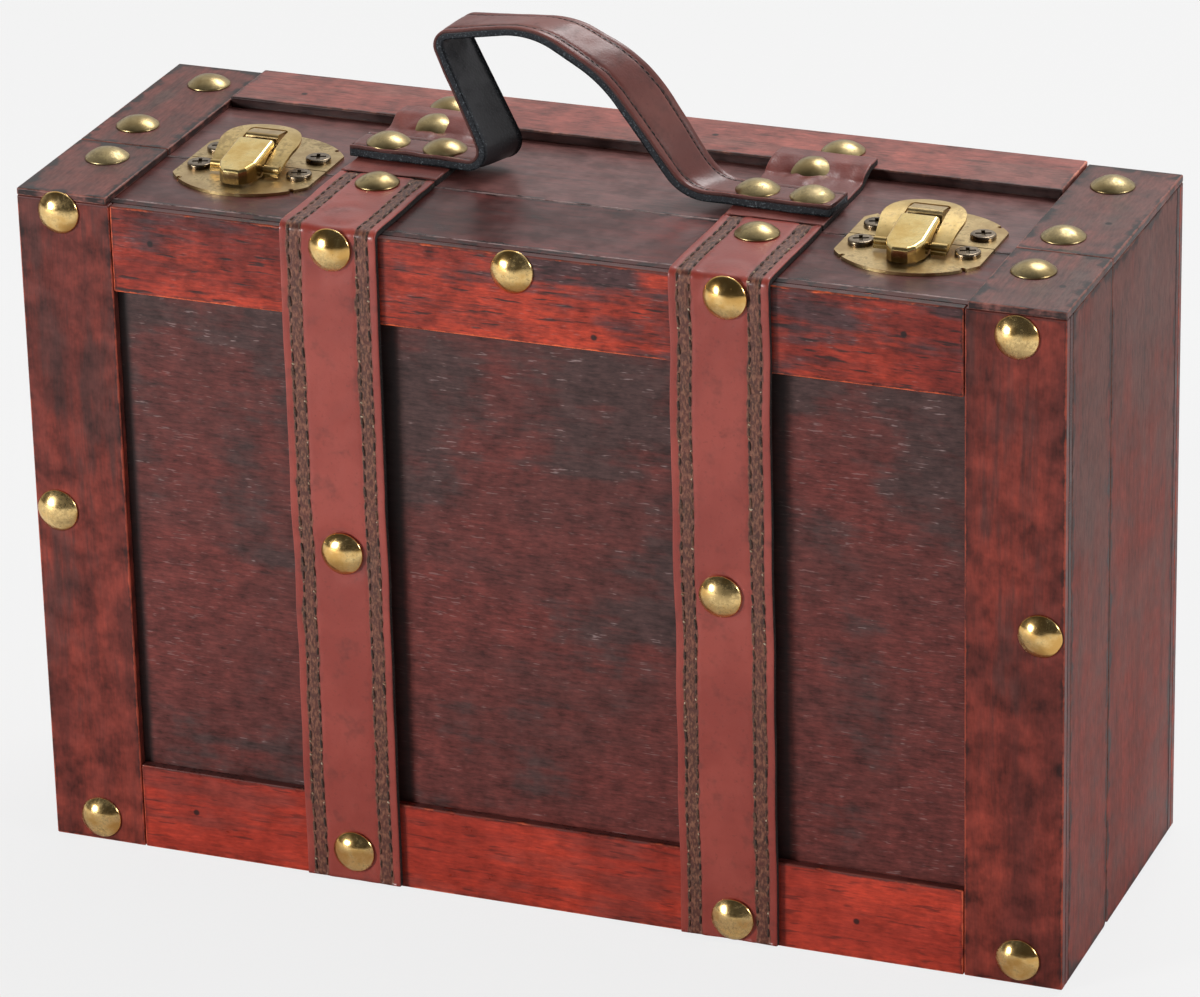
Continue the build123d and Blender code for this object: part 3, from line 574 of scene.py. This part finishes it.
def closedObject(name, verts, faces, runs=None, cuts=None):
    mesh = bpy.data.meshes.new(name)
    mesh.from_pydata([tuple(v) for v in verts], [], faces)
    mesh.update()
    volume = 0.0
    for polygon in mesh.polygons:
        corners = [mesh.vertices[v].co for v in polygon.vertices]
        for k in range(1, len(corners) - 1):
            volume += corners[0].dot(corners[k].cross(corners[k + 1]))
    if volume < 0:
        mesh.flip_normals()
    mesh.polygons.foreach_set("use_smooth", [True] * len(mesh.polygons))
    if runs:
        layer = mesh.uv_layers.new(name="run")
        for loop in mesh.loops:
            layer.data[loop.index].uv = runs[loop.vertex_index]
    if cuts:
        mesh.attributes.new("cut", "FLOAT", "POINT").data.foreach_set("value", cuts)
    return addObject(name, mesh)


def wave(x, y, z, size):
    return noise.noise(Vector((x, y, z)) / size)


def dip(value, centre, width):
    return math.exp(-((value - centre) / width) ** 2)


strapSettings = {
    "left": {"x": -60.15, "seed": 3, "tacks": [9.5, 106.4, 201.0, 216.0]},
    "right": {"x": 58.4, "seed": 8, "tacks": [6.8, 109.4, 201.0, 211.5]},
    "width": 29.8,
    "half": 1.0,
    "path": [(-57.7, 1.0), (-57.7, 207.6), (-14.3, 207.6)],
    "bends": [1.6],
    "steps": ([170, 38], [14]),
    "columns": 46,
    "bandEdges": (1.9, 6.9, 22.9, 28.0),
    "stitchRows": (2.7, 6.1, 23.7, 27.1),
    "stitchDepth": 0.16,
    "bandDepth": 0.18,
    "tackDepth": 0.30,
    "ripple": 0.22,
    "wander": 0.5,
}


def strapShape(settings, own):
    width = settings["width"]

    def shape(share, run, side):
        across = share * width
        seed = own["seed"] * 40.0
        lift = settings["ripple"] * wave(across * 0.3, run + seed, seed, 22.0)
        if side < 0:
            return 0.0
        lift += 0.10 * wave(across, run, seed, 5.0)
        for start, end in (settings["bandEdges"][:2], settings["bandEdges"][2:]):
            if start - 0.4 < across < end + 0.4:
                depth = min(1.0, (across - start + 0.4) / 0.6, (end + 0.4 - across) / 0.6)
                lift -= settings["bandDepth"] * depth
        for row in settings["stitchRows"]:
            pull = 0.7 + 0.3 * math.sin(run * 2.2 + row)
            lift -= settings["stitchDepth"] * dip(across, row, 0.35) * pull
        for tack in own["tacks"]:
            away = math.hypot(across - width / 2 - 0.9, run - tack)
            lift -= settings["tackDepth"] * dip(away, 7.0, 2.4)
        return lift
    return shape


def edgeLines(settings, own):
    near, far = [], []
    half = settings["width"] / 2
    path = bentPath(settings["path"], settings["bends"], *settings["steps"])
    for index, (spot, out) in enumerate(path):
        sway = settings["wander"] * wave(index * 1.0, own["seed"] * 17.0, 0.0, 18.0)
        normal = Vector((0.0, out.x, out.y))
        near.append((Vector((own["x"] - half + sway, spot.x, spot.y)), normal))
        far.append((Vector((own["x"] + half + sway * 0.6, spot.x, spot.y)), normal))
    return near, far


def makeBand(kind, side, body, settings, lines, shape):
    piece = layerMesh(
        kind + "_leather_" + side, *lines, -settings["half"], settings["half"],
        settings["width"], settings["columns"], shape,
    )
    name = kind + "_" + side
    piece.data.materials.append(leatherFinish(name, leatherLooks[kind], settings[side]["seed"]))
    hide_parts(name)
    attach(piece, body)


strapLines = {}
for side in sides:
    own = strapSettings[side]
    strapLines[side] = edgeLines(strapSettings, own)
    makeBand("strap", side, "lid", strapSettings, strapLines[side], strapShape(strapSettings, own))
print("straps made")


padSettings = {
    "left": {"x": -60.15, "seed": 5},
    "right": {"x": 58.4, "seed": 11},
    "width": 29.8,
    "half": 1.0,
    "path": [(-12.7, 207.3), (22.8, 207.3), (29.4, 210.6), (34.9, 210.6)],
    "bends": [4.0, 4.0],
    "steps": ([44, 8, 8], [8, 8]),
    "columns": 40,
    "fold": (36.5, 6.5),
    "wrinkle": 1.0,
    "wander": 0.7,
}


def padShape(settings, own):
    def shape(share, run, side):
        across = share * settings["width"]
        seed = own["seed"] * 31.0
        if side < 0:
            return 0.0
        rise = dip(run, *settings["fold"])
        lift = 0.12 * wave(across, run, seed, 6.0) + 0.25 * wave(across, run, seed, 17.0)
        lift += settings["wrinkle"] * rise * (0.5 + wave(across * 1.6, run, seed, 7.0))
        away = math.hypot(across - settings["width"] / 2 + 2.0, run - 31.5)
        lift += 1.15 * dip(away, 0.0, 5.0) * (1.0 + 0.5 * wave(across * 2, run, seed, 5.0))
        return lift
    return shape


for side in sides:
    own = padSettings[side]
    makeBand("pad", side, "box", padSettings, edgeLines(padSettings, own), padShape(padSettings, own))
print("pads made")


handleSettings = {
    "middle": (0.0, 1.7, 209.9),
    "turn": -2.0,
    "width": 14.0,
    "half": 1.6,
    "face": 0.8,
    "near": [
        (-76.55, 0.0), (-31.5, 0.0), (-48.5, 39.0), (-18.0, 44.5), (4.5, 32.0), (28.8, 0.0), (74.0, 0.0),
    ],
    "far": [
        (-76.55, 0.0), (-25.6, 0.0), (-46.1, 40.6), (-10.6, 43.6), (12.4, 33.8), (34.9, 0.0), (74.0, 0.0),
    ],
    "bends": [5.0, 3.6, 25.0, 40.0, 14.0],
    "steps": ([44, 36, 16, 10, 30, 38], [16, 16, 16, 14, 16]),
    "columns": 22,
    "rounding": 0.25,
    "curl": 0.9,
    "startCurl": (18.0, 26.0),
    "endCurl": (16.0, 24.0),
    "crumple": (88.0, 9.0),
    "footReach": 52.0,
    "footSink": 0.8,
    "stitchRows": (2.05, 11.95),
}


def handleEdges(settings):
    lines = []
    turn = Matrix.Rotation(math.radians(settings["turn"]), 3, "Z")
    for corners, side in ((settings["near"], -1), (settings["far"], 1)):
        line = []
        for spot, out in bentPath(corners, settings["bends"], *settings["steps"]):
            place = turn @ Vector((spot.x, side * settings["width"] / 2, spot.y))
            line.append((place + Vector(settings["middle"]), turn @ Vector((out.x, 0.0, out.y))))
        lines.append(line)
    return lines


handleLines = handleEdges(handleSettings)
handleLength = sum(
    ((b[0] + d[0]) / 2 - (a[0] + c[0]) / 2).length
    for a, b, c, d in zip(handleLines[0], handleLines[0][1:], handleLines[1], handleLines[1][1:])
)


def handleShape(settings, layer):
    # layer is 1 for the leather face and -1 for the lining
    width = settings["width"]
    start, startWidth = settings["startCurl"]
    end, endWidth = settings["endCurl"]
    reach = settings["footReach"]

    def shape(share, run, side):
        across = share * width
        flap = max(dip(run, start, startWidth), dip(run, handleLength - end, endWidth))
        flap = min(1.0, flap * 1.4)
        curl = settings["curl"] * flap * max(0.0, 1 - across / 3.2) ** 2
        curl *= 0.7 + 0.6 * wave(run, 0.0, 3.0, 9.0)
        curl += 0.3 * wave(run, across * 0.4, 7.0, 14.0) * (1 - flap)
        if side != layer:
            return curl
        lift = curl + 0.10 * wave(run, across, 11.0 * layer, 4.0)
        if layer > 0:
            lift += 0.22 * (1 - (2 * share - 1) ** 4)
            for row in settings["stitchRows"]:
                lift -= 0.38 * dip(across, row, 0.45)
            return lift
        for row in settings["stitchRows"]:
            lift += 0.30 * dip(across, row, 0.35)
        lift += 0.16 * dip(run, *settings["crumple"]) * wave(run * 2.2, across, 5.0, 3.5)
        foot = max(dip(run, 0.0, reach), dip(run, handleLength, reach))
        return lift + settings["footSink"] * (1 - foot)
    return shape


half, face = handleSettings["half"], handleSettings["face"]
for node, layer, low, high in (
    ("handle_face", 1, half - face, half),
    ("handle_lining", -1, -half, half - face - 0.02),
):
    piece = layerMesh(
        node + "_leather", *handleLines, low, high, handleSettings["width"], handleSettings["columns"],
        handleShape(handleSettings, layer), handleSettings["rounding"],
    )
    kind = "handle" if layer > 0 else "lining"
    piece.data.materials.append(leatherFinish(node, leatherLooks[kind], 4 + layer))
    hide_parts(node)
    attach(piece, "box")
    "strap_leather" if layer > 0 else "lining_leather"
print("handle made")


# Tacks and stitches, set on marked places by one geometry tree

def placingTree():
    tree = bpy.data.node_groups.new("setOnPlaces", "GeometryNodeTree")
    for label, kind, value in (
        ("Places", "Geometry", None), ("Source", "Object", None), ("Finish", "Material", None),
        ("Size", "Float", 1.0), ("Size spread", "Float", 0.02), ("Twist", "Float", 0.0),
        ("Dent depth", "Float", 0.0), ("Dent size", "Float", 0.003), ("Seed", "Int", 1),
    ):
        socket = tree.interface.new_socket(name=label, in_out="INPUT", socket_type="NodeSocket" + kind)
        if value is not None:
            socket.default_value = value
    tree.interface.new_socket(name="Pieces", in_out="OUTPUT", socket_type="NodeSocketGeometry")
    given = addNode(tree, "NodeGroupInput").outputs

    def make(kind, settings=None, inputs=None, out=0):
        return addOut(tree, kind, settings, inputs, out)

    def maths(operation, first, second):
        return addSum(tree, operation, first, second)

    def chance(low, high):
        values = {2: low, 3: high, "Seed": given["Seed"]}
        return make("FunctionNodeRandomValue", {"data_type": "FLOAT"}, values, 1)

    turn = make("GeometryNodeInputNamedAttribute", {"data_type": "FLOAT_VECTOR"}, {"Name": "turn"})
    turned = make("FunctionNodeEulerToRotation", None, {0: turn})
    size = chance(maths("SUBTRACT", 1.0, given["Size spread"]), maths("ADD", 1.0, given["Size spread"]))
    scale = maths("MULTIPLY", size, given["Size"])
    twist = chance(maths("MULTIPLY", given["Twist"], -1.0), given["Twist"])
    about = make("ShaderNodeCombineXYZ", None, {2: twist})
    spin = make("FunctionNodeEulerToRotation", None, {0: about})
    both = make("FunctionNodeRotateRotation", {"rotation_space": "LOCAL"}, {0: turned, 1: spin})
    source = make("GeometryNodeObjectInfo", {"transform_space": "ORIGINAL"},
                  {"Object": given["Source"]}, "Geometry")
    placed = make("GeometryNodeInstanceOnPoints", None, {
        "Points": given["Places"], "Instance": source, "Rotation": both, "Scale": scale,
    })
    real = make("GeometryNodeRealizeInstances", None, {0: placed})
    fine = maths("DIVIDE", 1.0, given["Dent size"])
    dents = make("ShaderNodeTexNoise", None, {"Scale": fine, "Detail": 1.0})
    depth = maths("MULTIPLY", maths("SUBTRACT", dents, 0.5), given["Dent depth"])
    normal = make("GeometryNodeInputNormal")
    push = make("ShaderNodeVectorMath", {"operation": "SCALE"}, {0: normal, "Scale": depth})
    moved = make("GeometryNodeSetPosition", None, {"Geometry": real, "Offset": push})
    done = make("GeometryNodeSetMaterial", None, {"Geometry": moved, "Material": given["Finish"]})
    addNode(tree, "NodeGroupOutput", None, {0: done})
    return tree


placing = placingTree()


def setOnPlaces(name, source, places, finish, **values):
    # places: (point in millimetres, direction that the source's Z takes, direction of its X)
    marks = bpy.data.meshes.new(name + "_marks")
    marks.from_pydata([tuple(Vector(p) * mm) for p, _, _ in places], [], [])
    turns = []
    for _, out, along in places:
        zAxis = Vector(out).normalized()
        xAxis = Vector(along)
        xAxis = (xAxis - zAxis * xAxis.dot(zAxis)).normalized()
        turns += Matrix((xAxis, zAxis.cross(xAxis), zAxis)).transposed().to_euler()[:]
    marks.attributes.new("turn", "FLOAT_VECTOR", "POINT").data.foreach_set("vector", turns)
    holder = addObject(name + "_marks", marks)
    modifier = holder.modifiers.new("pieces", "NODES")
    modifier.node_group = placing
    ids = {item.name: item.identifier for item in placing.interface.items_tree if item.in_out == "INPUT"}
    modifier[ids["Source"]] = source
    modifier[ids["Finish"]] = finish
    for label, value in values.items():
        modifier[ids[label.replace("_", " ")]] = value
    bpy.context.view_layer.update()
    evaluated = holder.evaluated_get(bpy.context.evaluated_depsgraph_get())
    mesh = bpy.data.meshes.new_from_object(evaluated)
    holder.modifiers.remove(modifier)
    bpy.data.objects.remove(holder)
    return addObject(name, mesh)


def turnedSolid(name, profile, count):
    # A solid of revolution about Z from (radius, height) points in millimetres, closed at both ends
    verts, faces = [], []
    for radius, height in profile:
        for k in range(count):
            angle = 2 * math.pi * k / count
            verts.append(Vector((radius * math.cos(angle), radius * math.sin(angle), height)) * mm)
    for ring in range(len(profile) - 1):
        for k in range(count):
            n = (k + 1) % count
            a, b = ring * count, (ring + 1) * count
            faces.append((a + k, a + n, b + n, b + k))
    for ring, height in ((0, profile[0][1]), (len(profile) - 1, profile[-1][1])):
        centre = len(verts)
        verts.append(Vector((0.0, 0.0, height)) * mm)
        for k in range(count):
            trio = (ring * count + (k + 1) % count, ring * count + k, centre)
            faces.append(trio if ring == 0 else trio[::-1])
    return closedObject(name, verts, faces)


tackSettings = {
    "radius": 6.55,
    "height": 3.1,
    "rim": 0.35,
    "front": [
        (-145.8, -56.4, 202.5), (144.7, -56.4, 199.8), (-143.7, -56.4, 7.6), (145.8, -56.4, 7.8),
        (-151.9, -56.4, 107.6), (151.9, -56.4, 110.6), (-4.3, -56.4, 201.1),
        (-59.25, -58.7, 202.0), (-59.35, -58.7, 107.4), (-59.65, -58.7, 10.5),
        (60.5, -58.7, 202.0), (57.7, -58.7, 110.4), (59.8, -58.7, 7.8),
    ],
    "lidTop": [
        (-144.4, -25.6, 208.6), (141.0, -29.5, 208.6), (-60.15, -21.2, 208.6), (58.2, -25.7, 208.6),
    ],
    "boxTop": [
        (-142.2, 41.5, 208.6), (-147.4, 2.0, 208.6), (142.6, 40.6, 208.6), (141.1, -2.0, 208.6),
        (-62.95, 42.2, 209.6), (60.4, 42.2, 209.6),
    ],
    "pad": [(-62.15, 26.3, 209.1), (56.4, 26.0, 209.1)],
    "padTilt": 13.5,
    "handle": [-67.3, -49.1, 49.2, 66.0],
    "handleTurn": -2.0,
    "handleMiddle": (1.7, 211.5),
    "dents": {"Size_spread": 0.006, "Twist": 3.1, "Dent_depth": 0.0003, "Dent_size": 0.005},
}


def brassFinish(name, look):
    f = Finish(name)
    spot = f.place()
    scale = look["scale"]
    cloud = f.clouds(spot, 85.0 * scale, 4.0, 0.65)
    speck = f.clouds(spot, 750.0 * scale, 3.0, 0.7)
    drawn = f.node("ShaderNodeVectorMath", {"operation": "MULTIPLY"}, {0: spot, 1: (900.0, 220.0, 900.0)})
    scuff = f.clouds(drawn, 1.0, 2.0, 0.6)
    colour = f.mix(f.smooth(cloud, 0.35, 0.62), look["base"], look["bright"])
    stain = f.smooth(cloud * 0.62 + speck * 0.38, 0.50, 0.62) * look["stain"]
    pit = f.smooth(speck, 0.66, 0.74) * look["pits"]
    colour = f.mix(stain, colour, look["dark"])
    colour = f.mix(pit, colour, look["dark"])
    if "shadedSides" in look:
        # Painted shade: the sides, below the sloping top, are painted darker
        slope, level = look["shadedSides"]
        _, y, z = f.split(spot)
        below = 1.0 - f.smooth(z - y * slope + (cloud - 0.5) * 0.0015, level - 0.0022, level - 0.0007)
        colour = f.mix(below * 0.75, colour, look["dark"])
    rough = look["rough"] + stain * 0.28 + pit * 0.3 + (scuff - 0.5) * look["scuff"]
    height = speck * 0.25 + scuff * 0.2 - pit * 0.6
    return f.finish(colour=colour, rough=rough, metal=1.0 - stain * 0.35 - pit * 0.3,
                    normal=f.bump(height, 0.00005, look["bump"]))


metalLooks = {
    "tack_brass": {
        "base": (0.74, 0.43, 0.13), "bright": (0.95, 0.68, 0.3), "dark": (0.12, 0.06, 0.02),
        "stain": 0.40, "pits": 0.5, "rough": 0.19, "scuff": 0.10, "bump": 0.5, "scale": 1.3,
    },
    "tack_brass_dull": {
        "base": (0.29, 0.21, 0.095), "bright": (0.46, 0.36, 0.18), "dark": (0.07, 0.05, 0.028),
        "stain": 0.45, "pits": 0.4, "rough": 0.33, "scuff": 0.12, "bump": 0.5, "scale": 1.0,
    },
    "plate_brass": {
        "base": (0.4, 0.27, 0.12), "bright": (0.6, 0.45, 0.22), "dark": (0.13, 0.088, 0.048),
        "stain": 0.65, "pits": 0.3, "rough": 0.33, "scuff": 0.12, "bump": 0.4, "scale": 0.9,
    },
    "ring_brass": {
        "base": (0.52, 0.36, 0.14), "bright": (0.74, 0.55, 0.25), "dark": (0.13, 0.08, 0.036),
        "stain": 0.5, "pits": 0.3, "rough": 0.30, "scuff": 0.10, "bump": 0.4, "scale": 0.9,
    },
    "lever_brass": {
        "base": (0.78, 0.52, 0.17), "bright": (0.95, 0.74, 0.33), "dark": (0.12, 0.065, 0.028),
        "stain": 0.2, "pits": 0.2, "rough": 0.16, "scuff": 0.08, "bump": 0.25, "scale": 0.9,
        # Slope and level of the lever's top, under which the sides get painted shade
        "shadedSides": (0.18, 0.21815),
    },
    "dark_steel": {
        "base": (0.11, 0.082, 0.056), "bright": (0.3, 0.235, 0.16), "dark": (0.02, 0.014, 0.01),
        "stain": 0.5, "pits": 0.4, "rough": 0.28, "scuff": 0.12, "bump": 0.6, "scale": 1.6,
    },
}
brass = {name: brassFinish(name, look) for name, look in metalLooks.items()}


def domeProfile(settings):
    radius, height, rim = (settings[k] for k in ("radius", "height", "rim"))
    cap = height - rim
    ball = (radius ** 2 + cap ** 2) / (2 * cap)
    limit = math.asin(radius / ball)
    profile = [(radius - 0.4, 0.0), (radius - 0.05, 0.05), (radius, rim)]
    for k in range(1, 15):
        angle = limit * (1 - k / 15)
        profile.append((ball * math.sin(angle), height - ball + ball * math.cos(angle)))
    return profile


dome = turnedSolid("tack_dome", domeProfile(tackSettings), 48)


def makeTacks(settings):
    up, out, right = (0, 0, 1), (0, -1, 0), (1, 0, 0)
    tilt = math.radians(settings["padTilt"])
    leaning = (0, -math.sin(tilt), math.cos(tilt))
    turn = math.radians(settings["handleTurn"])
    middleY, topZ = settings["handleMiddle"]
    onHandle = [(x * math.cos(turn), middleY + x * math.sin(turn), topZ) for x in settings["handle"]]
    onBox = [(p, up) for p in settings["boxTop"]] + [(p, leaning) for p in settings["pad"]]
    groups = (
        ("front_tacks", "lid", [(p, out) for p in settings["front"]], "tack_brass"),
        ("lid_top_tacks", "lid", [(p, up) for p in settings["lidTop"]], "tack_brass_dull"),
        ("box_top_tacks", "box", onBox, "tack_brass_dull"),
        ("handle_tacks", "box", [(p, up) for p in onHandle], "tack_brass_dull"),
    )
    for index, (node, body, spots, finish) in enumerate(groups):
        places = [(spot, facing, right) for spot, facing in spots]
        tacks = setOnPlaces(node + "_domes", dome, places, brass[finish],
                            Seed=index + 2, **settings["dents"])
        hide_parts(node)
        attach(tacks, body)


makeTacks(tackSettings)
bpy.data.objects.remove(dome)
print("tacks made")


strapStitches = {"length": 3.0, "thick": 0.34, "pitch": 4.3, "start": 3.0, "stagger": 1.7, "end": 247.0}
strapKnots = {"length": 0.75, "thick": 0.22, "share": 0.3}
handleStitches = {"length": 1.5, "thick": 0.2, "pitch": 2.0, "margin": 4.0}


def threadFinish(name, base, light):
    f = Finish(name)
    spot = f.place()
    fleck = f.clouds(spot, 1400.0, 2.0, 0.6)
    wide = f.clouds(spot, 130.0, 2.0, 0.6)
    colour = f.mix(f.smooth(fleck * 0.5 + wide * 0.5, 0.45, 0.62), base, light)
    return f.finish(colour=colour, rough=0.75, normal=f.bump(fleck, 0.00008, 0.6))


strapThread = threadFinish("strap_thread", (0.026, 0.013, 0.008), (0.13, 0.06, 0.032))
paleThread = threadFinish("pale_thread", (0.26, 0.17, 0.1), (0.6, 0.48, 0.34))
handleThread = threadFinish("handle_thread", (0.012, 0.009, 0.009), (0.06, 0.035, 0.03))


def stitchSource(settings):
    length, thick = settings["length"], settings["thick"]
    verts, faces = [], []
    profile = [
        (-0.5, -0.9, 0.35), (-0.38, 0.2, 0.8), (0.0, 0.55, 1.0), (0.38, 0.2, 0.8), (0.5, -0.9, 0.35),
    ]
    for along, lift, size in profile:
        for k in range(6):
            angle = math.pi * k / 3
            verts.append(Vector((
                along * length,
                math.cos(angle) * thick * size,
                math.sin(angle) * thick * size * 0.8 + lift * thick,
            )) * mm)
    for ring in range(len(profile) - 1):
        for k in range(6):
            n = (k + 1) % 6
            faces.append((ring * 6 + k, ring * 6 + n, ring * 6 + 6 + n, ring * 6 + 6 + k))
    faces.append(tuple(range(5, -1, -1)))
    faces.append(tuple(range((len(profile) - 1) * 6, len(profile) * 6)))
    return closedObject("stitch", verts, faces)


def rowPlaces(lines, width, row, pitch, start, end, high, shape):
    # Places of stitches along one row on a strip, at even steps
    places = []
    run, due = 0.0, start
    share = row / width
    previous = None
    for (near, nearOut), (far, farOut) in zip(*lines):
        spot = near.lerp(far, share)
        middle = (near + far) / 2
        normal = nearOut.lerp(farOut, share).normalized()
        if previous is not None:
            step = (middle - previous[1]).length
            while due <= run + step and due < end:
                part = (due - run) / step if step else 0.0
                point = previous[0].lerp(spot, part) + normal * (high + shape(share, due, 1))
                places.append((point, normal, spot - previous[0]))
                due += pitch
            run += step
        previous = (spot, middle)
    return places


stitch = stitchSource(strapStitches)
knot = stitchSource(strapKnots)
for side in sides:
    own = strapSettings[side]
    shape = strapShape(strapSettings, own)
    places = []
    for index, row in enumerate(strapSettings["stitchRows"]):
        start = strapStitches["start"] + (index * strapStitches["stagger"]) % strapStitches["pitch"]
        places += rowPlaces(strapLines[side], strapSettings["width"], row, strapStitches["pitch"],
                            start, strapStitches["end"], strapSettings["half"], shape)
    seam = setOnPlaces("strap_stitches_" + side, stitch, places, strapThread,
                       Size_spread=0.22, Twist=0.16, Seed=own["seed"])
    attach(seam, "lid")
    random.seed(own["seed"])
    ends = [(p + along.normalized() * strapStitches["pitch"] / 2 + out * 0.1, out, along)
            for p, out, along in places if random.random() < strapKnots["share"]]
    knots = setOnPlaces("strap_knots_" + side, knot, ends, paleThread,
                        Size_spread=0.4, Twist=1.5, Seed=own["seed"])
    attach(knots, "lid")
bpy.data.objects.remove(stitch)
bpy.data.objects.remove(knot)

stitch = stitchSource(handleStitches)
margin = handleStitches["margin"]
places = []
for row in handleSettings["stitchRows"]:
    places += rowPlaces(handleLines, handleSettings["width"], row, handleStitches["pitch"], margin,
                        handleLength - margin, handleSettings["half"], handleShape(handleSettings, 1))
seam = setOnPlaces("handle_stitches", stitch, places, handleThread, Size_spread=0.15, Twist=0.12, Seed=21)
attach(seam, "box")
bpy.data.objects.remove(stitch)
print("stitches made")


# Latches and hinges

for side in sides:
    for node in ("latch_plate_", "catch_plate_"):
        dress(node + side, brass["plate_brass"])
    dress("ring_" + side, brass["ring_brass"])
    dress("lever_" + side, brass["lever_brass"])
    dress("lever_pin_" + side, brass["plate_brass"])
    for node in ("hinge_box_leaf_", "hinge_lid_leaf_", "hinge_pin_"):
        dress(node + side, brass["dark_steel"])
for node in ("latch_screws", "catch_screws", "hinge_screws_box", "hinge_screws_lid"):
    dress(node, brass["dark_steel"])
print("metal finished")


# Floor, backdrop and light

stageSettings = {
    "floor": 0.80,
    "floorGlow": 0.85,
    "floorClear": 0.88,
    "floorReach": 4.0,
    "floorLevel": -0.0002,
    "worldNear": 0.06,
    "worldFar": 0.90,
    "worldBlend": (-0.35, 0.45),
    "aim": (0.0, 0.0, 0.12),
    "lamps": {
        "key": {"spot": (-1.25, -1.45, 0.50), "size": 0.45, "power": 28.0},
        "fill": {"spot": (1.60, -0.25, 0.70), "size": 0.4, "power": 9.0},
        "rim": {"spot": (0.15, 0.9, 1.4), "size": 0.6, "power": 13.0},
    },
}


def makeWorld(settings):
    # The camera sees white. The light is bright behind the case, dim on the near side, where the lamps
    # stand, and absent below the horizon, because it would come through the floor.
    world = bpy.data.worlds.new("studio")
    bpy.context.scene.world = world
    world.use_nodes = True
    tree = world.node_tree
    tree.nodes.clear()
    rays = addNode(tree, "ShaderNodeLightPath").outputs
    seen = addSum(tree, "MAXIMUM", rays["Is Camera Ray"], rays["Is Transmission Ray"])
    direction = addOut(tree, "ShaderNodeTexCoord", out="Generated")
    parts = addNode(tree, "ShaderNodeSeparateXYZ", None, {0: direction}).outputs
    start, end = settings["worldBlend"]
    depth = addOut(tree, "ShaderNodeMapRange", {"interpolation_type": "SMOOTHSTEP"}, {
        "Value": parts["Y"], "From Min": start, "From Max": end,
        "To Min": settings["worldNear"], "To Max": settings["worldFar"],
    })
    lit = addSum(tree, "MULTIPLY", depth, addSum(tree, "GREATER_THAN", parts["Z"], 0.0))
    level = addOut(tree, "ShaderNodeMix", {"data_type": "FLOAT"}, {0: seen, 2: lit, 3: 1.0})
    background = addOut(tree, "ShaderNodeBackground", None, {"Strength": level})
    addNode(tree, "ShaderNodeOutputWorld", None, {0: background})


def makeFloor(settings):
    size, level = settings["floorReach"], settings["floorLevel"]
    corners = [(-size, -size, level), (size, -size, level), (size, size, level), (-size, size, level)]
    mesh = bpy.data.meshes.new("floor")
    mesh.from_pydata(corners, [], [(0, 1, 2, 3)])
    floor = addObject("floor", mesh)
    paint = bpy.data.materials.new("floor_paint")
    paint.use_nodes = True
    tree = paint.node_tree
    tree.nodes.clear()
    rays = addNode(tree, "ShaderNodeLightPath").outputs
    plain = addOut(tree, "ShaderNodeBsdfDiffuse", None, {0: shade(*[settings["floor"]] * 3)})
    glow = addOut(tree, "ShaderNodeEmission", None, {"Strength": settings["floorGlow"]})
    both = addOut(tree, "ShaderNodeAddShader", None, {0: plain, 1: glow})
    # The camera and the lamps see through the floor, so that the lid shows where it swings below it
    clear = addOut(tree, "ShaderNodeBsdfTransparent")
    result = plain
    for ray, share, upper in (
        ("Is Camera Ray", settings["floorClear"], both),
        ("Is Shadow Ray", 1.0, plain),
    ):
        through = addOut(tree, "ShaderNodeMixShader", None, {0: share, 1: upper, 2: clear})
        result = addOut(tree, "ShaderNodeMixShader", None, {0: rays[ray], 1: result, 2: through})
    addNode(tree, "ShaderNodeOutputMaterial", None, {0: result})
    mesh.materials.append(paint)


def makeLamps(settings):
    for name, own in settings["lamps"].items():
        data = bpy.data.lights.new(name, "AREA")
        data.size = own["size"]
        data.energy = own["power"]
        lamp = addObject(name, data)
        lamp.location = own["spot"]
        aim = Vector(settings["aim"]) - Vector(own["spot"])
        lamp.rotation_euler = aim.to_track_quat("-Z", "Y").to_euler()


makeWorld(stageSettings)
makeFloor(stageSettings)
makeLamps(stageSettings)
bpy.context.scene.view_settings.view_transform = "Standard"
print("stage set")
